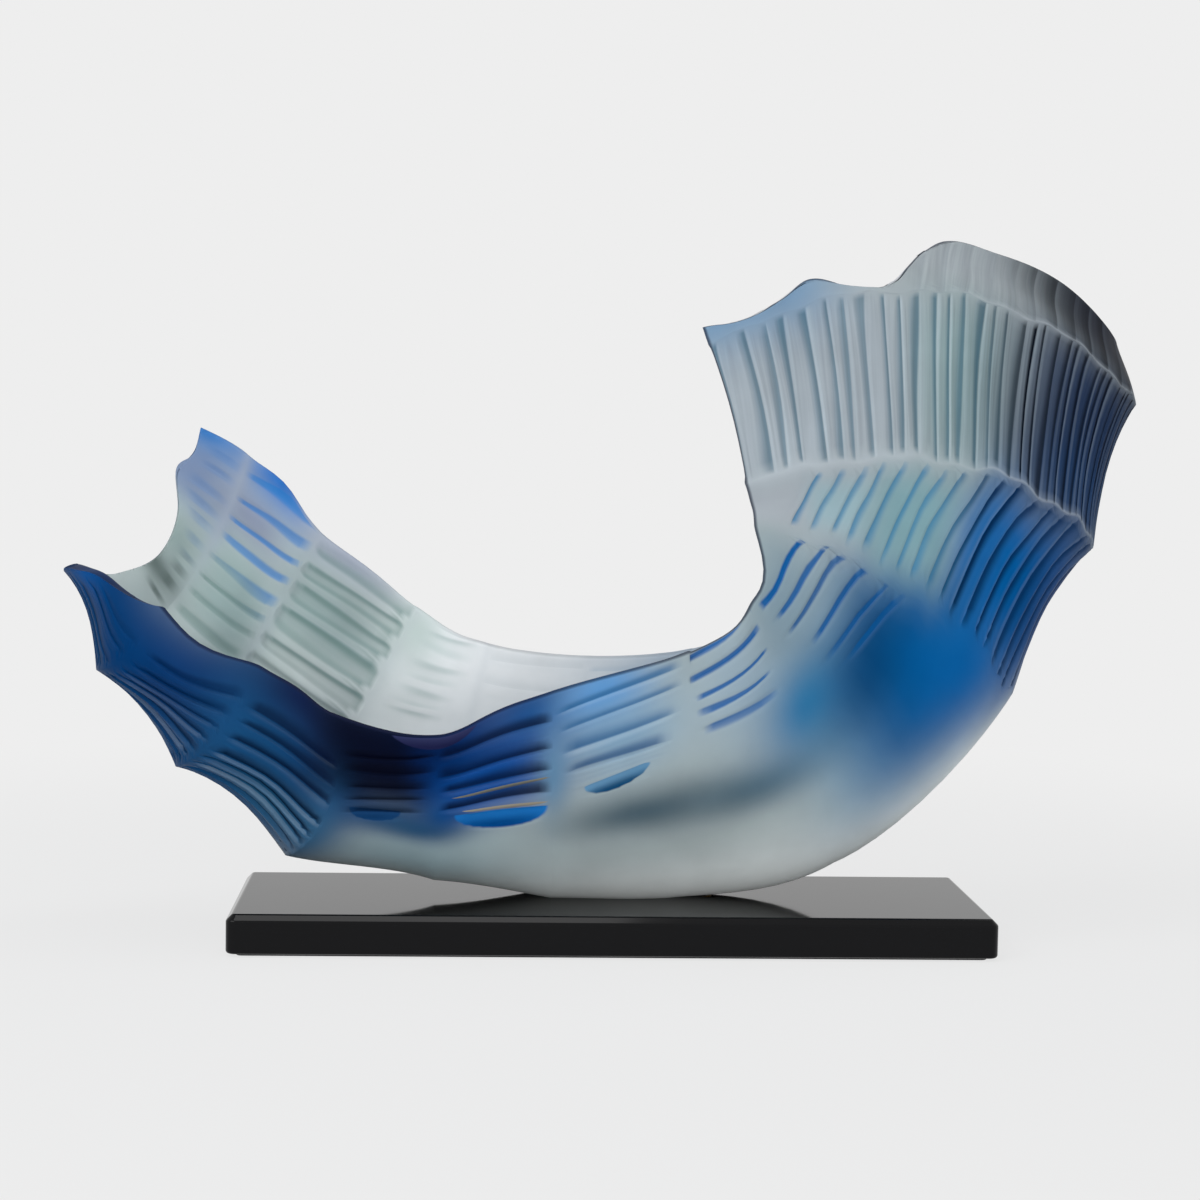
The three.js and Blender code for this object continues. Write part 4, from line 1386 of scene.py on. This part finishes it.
# Wool felt, pressed: matted fibres with no direction, dull and faintly furry at the edges.
@dataclass(frozen=True)
class PressedWoolFelt(Finish):
    """Black pressed wool felt.

    Attributes:
        dark: Colour between the fibres.
        light: Colour of the fibres.
        fibre_mm: Size of the matted fibres, coarser than real ones so that they show.
        tangle: How far they are bent.
        roughness: Roughness of the wool.
        fur: Strength and roughness of the furry sheen.
        bump: Strength of the fibres' relief.
        bump_mm: Its depth.
    """

    name: str = "pressed_wool_felt"
    dark: str = "#141416"
    light: str = "#2b2b2e"
    fibre_mm: float = 1.2
    tangle: float = 1.5
    roughness: float = 0.95
    fur: Span = (0.4, 0.5)
    bump: float = 0.7
    bump_mm: float = 0.3

    def surface(self, tree: Tree) -> Any:
        """Add the nodes of the matted fibres.

        Args:
            tree: Node tree of the material.

        Returns:
            The shader.
        """
        place = add_node(tree, "TexCoord").outputs["Object"]
        fibres = add_node(tree, "TexNoise", {
            "Vector": place, "Scale": per_mm(self.fibre_mm), "Detail": 6.0, "Distortion": self.tangle,
        })
        colour = add_node(tree, "Mix", [fibres, linear(self.dark), linear(self.light)], data_type="RGBA")
        bump = add_node(
            tree, "Bump", {"Strength": self.bump, "Distance": self.bump_mm * MM, "Height": fibres}
        )
        return add_node(tree, "BsdfPrincipled", {
            "Base Color": colour, "Roughness": self.roughness, "Sheen Weight": self.fur[0],
            "Sheen Roughness": self.fur[1], "Normal": bump,
        })


@dataclass(frozen=True)
class TurnedMetal(Finish):
    """Metal turned on a lathe, with fine rings from the tool.

    Attributes:
        dark: Colour of the stains.
        light: Colour of the clean metal.
        roughness: Mean roughness.
        stain_rough: How far stains raise and lower it.
        stain_mm: Size of the stains.
        ring_mm: Size of a radian of the rings' wave, coarser than a tool leaves so that it shows.
        bump: Strength of the rings.
        bump_mm: Their depth.
    """

    dark: str
    light: str
    roughness: float
    stain_rough: float = 0.08
    stain_mm: float = 3.0
    ring_mm: float = 0.6
    bump: float = 0.25
    bump_mm: float = 0.05

    def surface(self, tree: Tree) -> Any:
        """Add the nodes of the turned face.

        Args:
            tree: Node tree of the material.

        Returns:
            The shader.
        """
        place = add_node(tree, "TexCoord").outputs["Object"]
        ring_scale = per_mm(self.ring_mm) / WAVE_TURN
        rings = add_node(
            tree, "TexWave", {"Vector": place, "Scale": ring_scale, "Distortion": 1.0}, bands_direction="Z"
        )
        stains = add_node(tree, "TexNoise", {"Vector": place, "Scale": per_mm(self.stain_mm), "Detail": 4.0})
        colour = add_node(tree, "Mix", [stains, linear(self.dark), linear(self.light)], data_type="RGBA")
        rough_range = (self.roughness - self.stain_rough, self.roughness + self.stain_rough)
        rough = add_node(tree, "MapRange", [stains, 0.0, 1.0, *rough_range])
        bump = add_node(tree, "Bump", {
            "Strength": self.bump, "Distance": self.bump_mm * MM, "Height": rings.outputs["Fac"],
        })
        return add_node(tree, "BsdfPrincipled", {
            "Base Color": colour, "Metallic": 1.0, "Roughness": rough, "Normal": bump,
        })


# Zinc-plated steel of bought-in screws and washers: cool grey with a low cloudy shine.
ZINC_PLATED_STEEL = TurnedMetal("zinc_plated_steel", "#74787c", "#a4a8ac", 0.34)
# Turned brass of the inserts: warm yellow, dulled a little by handling.
TURNED_BRASS = TurnedMetal("turned_brass", "#8f6f38", "#c39f58", 0.32)


@dataclass(frozen=True)
class SubAssembly:
    """A part of the sculpture that has one finish.

    Attributes:
        finish: What it is made of.
    """

    finish: Finish

    def dress(self, *pieces: Piece) -> None:
        """Give pieces the finish as their only material.

        Args:
            pieces: The pieces to dress.
        """
        material = self.finish.material()
        for piece in pieces:
            piece.data.materials.clear()
            piece.data.materials.append(material)


@dataclass(frozen=True)
class Lip:
    """The rounded edge round the shell.

    Attributes:
        points: Its points, in millimetres.
        faces: Its faces.
        outer: Number of the outer face's point next to each of its points.
        inner: The same for the inner face.
    """

    points: Array
    faces: Faces
    outer: Array
    inner: Array


@dataclass(frozen=True)
class ResinShell(SubAssembly):
    """The cast resin shell.

    Attributes:
        form: Its surface.
        bay_steps: Steps along a bay.
        scoop_bay_steps: Steps along a bay with a scoop.
        outer_steps: Steps from rim to keel on the outer face, front and back.
        inner_steps: The same on the inner face.
        rim_share: Share of the half girth that the rounded lip takes up.
        end_share: Share of an end bay that the rounded lip takes up.
        lip_angles: Angles round the lip, in degrees.
        lip_turn: Depth in millimetres over which the lip goes from the front to the back.
        front_rim_dye: Share of dye along the lip in front.
        back_rim_dye: The same behind.
        back_rim_start: Lengths in bays over which the dye behind begins.
        pocket_radius: Radius of the pockets for the inserts, in millimetres.
        pocket_depth: Their depth.
    """

    form: ShellForm = ShellForm()
    bay_steps: int = 13
    scoop_bay_steps: int = 18
    outer_steps: tuple[int, int] = (280, 112)
    inner_steps: tuple[int, int] = (52, 124)
    rim_share: float = 0.012
    end_share: float = 0.03
    lip_angles: tuple[float, ...] = (36.0, 72.0, 108.0, 144.0)
    lip_turn: Span = (-25.0, 25.0)
    front_rim_dye: float = 0.75
    back_rim_dye: float = 0.3
    back_rim_start: Span = (3.0, 4.0)
    pocket_radius: float = 5.0
    pocket_depth: float = 14.9

    def lengths(self) -> Array:
        """Work out the nominal lengths of the lines across the shell, closer together at the ridges.

        Returns:
            Lengths in bays.
        """
        scooped = {int(scoop.along) for scoop in SCOOPS}
        lines = [np.array([float(len(BAYS))])]
        for bay in range(len(BAYS)):
            steps = self.scoop_bay_steps if bay in scooped else self.bay_steps
            lines.append(bay + 0.5 - 0.5 * np.cos(np.linspace(0, np.pi, steps + 1)[:-1]))
        return np.clip(np.sort(np.concatenate(lines)), self.end_share, len(BAYS) - self.end_share)

    def girths(self, steps: tuple[int, int]) -> Array:
        """Work out the girth stops of one line.

        Args:
            steps: Steps from rim to keel, front and back.

        Returns:
            Girths from the front rim to the back rim.
        """
        reach = 1 - self.rim_share
        front = np.linspace(-reach, 0, steps[0] + 1)
        return np.concatenate([front, np.linspace(0, reach, steps[1] + 1)[1:]])

    def lines(self, face: Face) -> list[Places]:
        """Work out the lines across one face.

        Args:
            face: Outer or inner face.

        Returns:
            The places of each line. The end lines of both faces have the same stops.
        """
        outer, inner = self.girths(self.outer_steps), self.girths(self.inner_steps)
        first, *middle, last = self.lengths()
        made = [self.form.line(first, outer, face)]
        for length in middle:
            girth = outer if face is Face.OUTER else inner
            shifted = self.form.along_flutes(self.form.line(length, girth, face))
            made.append(self.form.line(length, shifted, face))
        return made + [self.form.line(last, outer, face)]

    def sheets(self) -> tuple[Array, dict[str, Array], dict[Face, list[Array]]]:
        """Work out the points of both faces.

        Returns:
            The points in millimetres, their attributes, and the point numbers of each face's lines.
        """
        points: list[Array] = []
        values: dict[str, list[Array]] = {name: [] for name in SHELL_ATTRIBUTES}
        rows: dict[Face, list[Array]] = {face: [] for face in Face}
        total = 0
        for places in [*self.lines(Face.OUTER), *self.lines(Face.INNER)]:
            points.append(self.form.points(places))
            flutes = self.form.flutes(places)
            inside, scoop_colour, _ = self.form.scoops(places)
            scoop = inside if places.face is Face.OUTER else np.full_like(inside, -1.0)
            tint = self.form.tint(places, flutes)
            found = (tint, flutes.dye, flutes.run, flutes.finish, scoop_colour, scoop, places.length)
            for name, value in zip(SHELL_ATTRIBUTES, found):
                values[name].append(value)
            rows[places.face].append(np.arange(total, total + len(places.girth)))
            total += len(places.girth)
        return np.vstack(points), {name: np.concatenate(parts) for name, parts in values.items()}, rows

    def sheet_faces(self, outer: list[Array], inner: list[Array]) -> Faces:
        """Join the lines of both faces.

        Args:
            outer: Point numbers of the outer face's lines.
            inner: Point numbers of the inner face's lines.

        Returns:
            The faces, all turned outwards.
        """
        faces: Faces = []
        for first, second in [*zip(outer[:-1], outer[1:]), *zip(inner[1:], inner[:-1])]:
            if len(first) == len(second):
                faces += np.stack([first[:-1], first[1:], second[1:], second[:-1]], 1).tolist()
            else:
                faces += self.zipped(first, second)
        return faces

    def zipped(self, first: Array, second: Array) -> Faces:
        """Join two lines with different stops, taking the next point of whichever lags.

        Args:
            first: Point numbers of the one line.
            second: Point numbers of the other.

        Returns:
            The triangles.
        """
        stops = {sum(steps) + 1: self.girths(steps) for steps in (self.outer_steps, self.inner_steps)}
        first_stops, second_stops = (np.append(stops[len(line)], math.inf) for line in (first, second))
        faces: Faces = []
        at, other = 0, 0
        while at < len(first) - 1 or other < len(second) - 1:
            if first_stops[at + 1] <= second_stops[other + 1]:
                faces.append((int(first[at]), int(first[at + 1]), int(second[other])))
                at += 1
            else:
                faces.append((int(first[at]), int(second[other + 1]), int(second[other])))
                other += 1
        return faces

    def edge_loop(self, rows: list[Array], inset: int = 0) -> Array:
        """Follow the edge of a face along the front rim, the right end, the back rim and the left end.

        Args:
            rows: Point numbers of the face's lines.
            inset: Steps in from the edge.

        Returns:
            The loop of point numbers.
        """
        counts = (len(rows), len(rows[0]), len(rows[-1]))
        lines, firsts, lasts = (np.clip(np.arange(count), inset, count - 1 - inset) for count in counts)
        front = [rows[line][inset] for line in lines[:-1]]
        back = [rows[line][-1 - inset] for line in lines[:0:-1]]
        return np.concatenate([front, rows[lines[-1]][lasts[:-1]], back, rows[lines[0]][firsts[:0:-1]]])

    def lip(self, cloud: Array, outer: list[Array], inner: list[Array]) -> Lip:
        """Round the edge between the two faces, all round the shell.

        Args:
            cloud: Points of both faces, in millimetres.
            outer: Point numbers of the outer face's lines.
            inner: Point numbers of the inner face's lines.

        Returns:
            The lip.
        """
        outside, inside, near = self.edge_loop(outer), self.edge_loop(inner), self.edge_loop(outer, inset=1)
        middle, half = (cloud[outside] + cloud[inside]) / 2, (cloud[outside] - cloud[inside]) / 2
        away = unit(cloud[outside] - cloud[near])
        away = unit(away + np.roll(away, 1, 0) + np.roll(away, -1, 0))
        radius = np.linalg.norm(half, axis=1, keepdims=True)
        made: list[Array] = []
        rings = [outside]
        for angle in np.radians(self.lip_angles):
            rings.append(len(cloud) + len(made) * len(outside) + np.arange(len(outside)))
            made.append(middle + half * np.cos(angle) + away * radius * np.sin(angle))
        rings.append(inside)
        faces: Faces = []
        for first, second in zip(rings[:-1], rings[1:]):
            faces += np.stack([first, np.roll(first, -1), np.roll(second, -1), second], 1).tolist()
        return Lip(np.vstack(made), faces, np.tile(outside, len(made)), np.tile(inside, len(made)))

    def with_lip(self, values: dict[str, Array], lip: Lip) -> dict[str, Array]:
        """Carry the attributes of the two faces on over the lip, with dye along the rim.

        Args:
            values: Attributes of the points of both faces.
            lip: The lip.

        Returns:
            Attributes of all points.
        """
        behind = smooth(*self.lip_turn, lip.points[:, 1])[:, None]
        plain = mix(values["tint"][lip.outer], values["tint"][lip.inner], behind)
        carried = {name: value[lip.outer] for name, value in values.items()}
        back_dye = self.back_rim_dye * smooth(*self.back_rim_start, carried["along"])[:, None]
        carried["tint"] = mix(plain, linear(RIM_DYE)[:3], mix(self.front_rim_dye, back_dye, behind))
        carried["flute_run"][:, 1] = 0.0
        carried["scoop"][:] = -1.0
        return {name: np.concatenate([value, carried[name]]) for name, value in values.items()}

    def build(self, plinth_top: float, screws: Sequence[Span]) -> Piece:
        """Make the shell and dress it.

        Args:
            plinth_top: Height of the plinth's top, in metres.
            screws: Places of the screws, in metres.

        Returns:
            The shell, with its dye and flute attributes.
        """
        cloud, values, rows = self.sheets()
        outer, inner = rows[Face.OUTER], rows[Face.INNER]
        lip = self.lip(cloud, outer, inner)
        placed = np.vstack([cloud, lip.points]) * MM + (0, 0, plinth_top)
        shell = make_object("shell_of_tinted_resin", placed, self.sheet_faces(outer, inner) + lip.faces)
        for name, value in self.with_lip(values, lip).items():
            kind, key = ("FLOAT_VECTOR", "vector") if value.ndim == 2 else ("FLOAT", "value")
            shell.data.attributes.new(name, kind, "POINT").data.foreach_set(key, value.ravel())
        pocket, radius = self.pocket_depth * MM, self.pocket_radius * MM
        cut_round_holes(shell, [((x, y, plinth_top - pocket), radius, 2 * pocket) for x, y in screws])
        self.dress(shell)
        return shell


@dataclass(frozen=True)
class Plinth(SubAssembly):
    """The black plinth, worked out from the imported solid's box.

    Attributes:
        corner: Radius of its upright corners, in millimetres.
        top_bevel: Bevel round its top.
        foot_bevel: Bevel round its foot.
        edge_round: Radius that polishing leaves on each edge.
        edge_segments: Facets of such an edge.
        edge_angle: Least angle of an edge that is rounded, in degrees.
        sharp_angle: Least angle of an edge that is shaded as sharp.
        flat_area: Least area of a face that is shaded flat, in square metres.
        counterbore: Radius and depth of the counterbores.
        hole_radius: Radius of the holes for the screws.
    """

    corner: float = 5.0
    top_bevel: float = 3.3
    foot_bevel: float = 1.0
    edge_round: float = 0.8
    edge_segments: int = 3
    edge_angle: float = 20.0
    sharp_angle: float = 28.0
    flat_area: float = 3e-4
    counterbore: Span = (7.0, 9.5)
    hole_radius: float = 3.3

    def build(self, low: Vector, high: Vector, screws: Sequence[Span]) -> Piece:
        """Make the plinth and dress it.

        Args:
            low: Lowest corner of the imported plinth, in metres.
            high: Highest corner.
            screws: Places of the screws, in metres.

        Returns:
            The plinth.
        """
        levels = (
            (low.z, self.foot_bevel), (low.z + self.foot_bevel * MM, 0.0),
            (high.z - self.top_bevel * MM, 0.0), (high.z, self.top_bevel),
        )
        slab = rounded_slab("plinth_of_black_acrylic", low, high, self.corner, levels)
        bevel = slab.modifiers.new("polished_edges", "BEVEL")
        bevel.width = self.edge_round * MM
        bevel.segments = self.edge_segments
        bevel.limit_method = "ANGLE"
        bevel.angle_limit = math.radians(self.edge_angle)
        bevel.harden_normals = False
        apply_modifiers(slab)
        radius, depth = (size * MM for size in self.counterbore)
        for x, y in screws:
            counterbore = ((x, y, low.z - depth), radius, 2 * depth)
            hole = ((x, y, low.z), self.hole_radius * MM, 2 * (high.z - low.z))
            cut_round_holes(slab, (counterbore, hole))
        slab.data.set_sharp_from_angle(angle=math.radians(self.sharp_angle))
        for polygon in slab.data.polygons:
            polygon.use_smooth = polygon.area < self.flat_area
        self.dress(slab)
        return slab


@dataclass(frozen=True)
class FeltPad(SubAssembly):
    """The felt under the plinth, a laid sheet with soft edges.

    Attributes:
        corner: Radius of its corners, in millimetres.
        soft_edge: How far its edges round over.
        knee: Where the round-over bends, as a share of it.
    """

    corner: float = 3.0
    soft_edge: float = 0.6
    knee: float = 0.3

    def build(self, low: Vector, high: Vector) -> Piece:
        """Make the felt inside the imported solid's box and dress it.

        Args:
            low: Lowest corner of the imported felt, in metres.
            high: Highest corner.

        Returns:
            The felt.
        """
        edge, inset = self.soft_edge * MM, self.knee * self.soft_edge
        levels = (
            (low.z, self.soft_edge), (low.z + self.knee * edge, inset), (low.z + edge, 0.0),
            (high.z - edge, 0.0), (high.z - self.knee * edge, inset), (high.z, self.soft_edge),
        )
        pad = rounded_slab("pad_of_black_felt", low, high, self.corner, levels)
        self.dress(pad)
        return pad


@dataclass(frozen=True)
class Fixings(SubAssembly):
    """Fixings of one metal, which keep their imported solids.

    Attributes:
        kinds: The kinds of fixing, each with one on the left and one on the right.
    """

    kinds: tuple[str, ...]

    def build(self, nodes: dict[str, Piece]) -> None:
        """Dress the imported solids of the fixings.

        Args:
            nodes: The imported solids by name.
        """
        names = [f"{kind}_{side}" for kind in self.kinds for side in SIDES]
        self.dress(*(nodes[name] for name in names))
        LOG.info("%s keep their packed solids", ", ".join(names))


@dataclass(frozen=True)
class Lamp:
    """A soft box.

    Attributes:
        name: Its name.
        place: Where it hangs, in metres.
        size: Width and height of its face.
        power: Its power in watts.
        glossy: Whether it shows in reflections.
    """

    name: str
    place: Point
    size: Span
    power: float
    glossy: bool = True

    def hang(self, aim: Point) -> None:
        """Add the lamp.

        Args:
            aim: Point that it faces.
        """
        light = bpy.data.lights.new(self.name, "AREA")
        light.shape = "RECTANGLE"
        light.size, light.size_y = self.size
        light.energy = self.power
        lamp = bpy.data.objects.new(self.name, light)
        lamp.location = self.place
        lamp.visible_glossy = self.glossy
        lamp.rotation_euler = (Vector(aim) - Vector(self.place)).to_track_quat("-Z", "Y").to_euler()
        bpy.context.scene.collection.objects.link(lamp)


@dataclass(frozen=True)
class Studio:
    """Pale floor, soft lamps and the camera of the photograph.

    Attributes:
        pale: Colour of the floor and of the background.
        floor_half: Half the width of the floor, in metres.
        shadow_cover: Distances from the middle, and how much of the shadow is covered at each.
        sky: Colour of the light from all round.
        sky_strength: Its strength.
        lamps: The soft boxes.
        aim: Middle of the object, which they face.
        camera_place: Where the camera stands, in metres.
        camera_turn: Its yaw, pitch and roll in degrees.
        sensor_mm: Width of its sensor.
        focal_pixels: Its focal length, measured in the photograph.
        photo_pixels: Width of the photograph.
    """

    pale: str = "#eeeeee"
    floor_half: float = 8.0
    shadow_cover: Range = (0.3, 0.9, 0.86, 1.0)
    sky: str = "#e6ebf0"
    sky_strength: float = 0.42
    lamps: tuple[Lamp, ...] = (
        Lamp("key", (-1.25, -1.15, 1.35), (1.3, 1.0), 13.0),
        Lamp("top", (0.1, -0.15, 1.7), (1.8, 0.4), 7.5),
        Lamp("front", (0.2, -1.6, 0.1), (2.0, 0.2), 13.0, glossy=False),
    )
    aim: Point = (0.0, 0.0, 0.17)
    camera_place: Point = (-0.07397, -1.35531, 0.26625)
    camera_turn: Point = (-2.8226, -3.7627, -0.9256)
    sensor_mm: float = 36.0
    focal_pixels: float = 2600.975
    photo_pixels: int = 1200

    def build(self) -> None:
        """Add the floor, the world, the lamps and the camera."""
        self.add_floor()
        self.add_world()
        for lamp in self.lamps:
            lamp.hang(self.aim)
        self.add_camera()
        bpy.context.scene.view_settings.view_transform = "Standard"

    def seen_ray(self, tree: Tree) -> Any:
        """Add the nodes that find a ray that shows the background, straight or by way of gloss or glass.

        Args:
            tree: Node tree that gets them.

        Returns:
            The node that is 1 for such a ray.
        """
        path = add_node(tree, "LightPath").outputs
        either = add_node(tree, "Math", [path["Is Camera Ray"], path["Is Glossy Ray"]], operation="MAXIMUM")
        return add_node(tree, "Math", [either, path["Is Transmission Ray"]], operation="MAXIMUM")

    def add_floor(self) -> None:
        """Add the pale floor, which keeps a faint shadow of the object."""
        half = self.floor_half
        corners = np.array([(-half, -half, 0), (half, -half, 0), (half, half, 0), (-half, half, 0)])
        floor = make_object("studio_floor", corners, [(0, 1, 2, 3)])
        material, tree = new_material("painted_studio_floor")
        lit = add_node(tree, "BsdfDiffuse", {"Color": linear(self.pale)})
        even = add_node(tree, "Emission", {"Color": linear(self.pale), "Strength": 1.0})
        place = add_node(tree, "TexCoord").outputs["Object"]
        far = add_node(tree, "VectorMath", [place], operation="LENGTH")
        share = add_node(tree, "MapRange", [far, *self.shadow_cover], interpolation_type="SMOOTHSTEP")
        cover = add_node(tree, "Math", [self.seen_ray(tree), share], operation="MULTIPLY")
        add_node(tree, "OutputMaterial", [add_node(tree, "MixShader", [cover, lit, even])])
        floor.data.materials.append(material)

    def add_world(self) -> None:
        """Add a pale world that lights softly and shows as the background."""
        world = bpy.data.worlds.new("studio")
        world.use_nodes = True
        tree = world.node_tree
        tree.nodes.clear()
        soft = add_node(tree, "Background", {"Color": linear(self.sky), "Strength": self.sky_strength})
        seen = add_node(tree, "Background", {"Color": linear(self.pale), "Strength": 1.0})
        add_node(tree, "OutputWorld", [add_node(tree, "MixShader", [self.seen_ray(tree), soft, seen])])
        bpy.context.scene.world = world

    def add_camera(self) -> None:
        """Add the camera where the photograph was taken from."""
        lens = bpy.data.cameras.new("photo_camera")
        lens.sensor_fit = "HORIZONTAL"
        lens.sensor_width = self.sensor_mm
        lens.lens = self.sensor_mm * (self.focal_pixels / self.photo_pixels)
        camera = bpy.data.objects.new("photo_camera", lens)
        yaw, pitch, roll = (math.radians(angle) for angle in self.camera_turn)
        turn = Matrix.Rotation
        upright = turn(yaw, 4, "Z") @ turn(pitch, 4, "X") @ turn(roll, 4, "Y")
        camera.matrix_world = Matrix.Translation(self.camera_place) @ upright @ turn(math.pi / 2, 4, "X")
        bpy.context.scene.collection.objects.link(camera)
        bpy.context.scene.camera = camera


def main() -> None:
    """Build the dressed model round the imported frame."""
    logging.basicConfig(level=logging.INFO, format="%(name)s: %(message)s")
    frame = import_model()
    Studio().build()
    corners = {name: tuple(Vector(corner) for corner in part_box(name)) for name in frame["nodes"]}
    screws = []
    for side in SIDES:
        low, high = corners[f"screw_{side}"]
        screws.append(((low.x + high.x) / 2, (low.y + high.y) / 2))
    shell = ResinShell(TintedCastResin()).build(corners["plinth"][1].z, screws)
    plinth = Plinth(PolishedBlackAcrylic()).build(*corners["plinth"], screws)
    felt = FeltPad(PressedWoolFelt()).build(*corners["felt_pad"])
    for piece, node, slot in (
        (shell, "resin_shell", "tinted_resin"),
        (plinth, "plinth", "black_acrylic"),
        (felt, "felt_pad", "black_felt"),
    ):
        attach(piece, ROOT_BODY)
        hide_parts(node)
        LOG.info("%s stands for %s with %d faces", piece.name, node, len(piece.data.polygons))
    low, high = corners["felt_pad"]
    Fixings(ZINC_PLATED_STEEL, ("screw", "washer")).build(frame["nodes"])
    Fixings(TURNED_BRASS, ("insert",)).build(frame["nodes"])


if __name__ == "__main__":
    main()
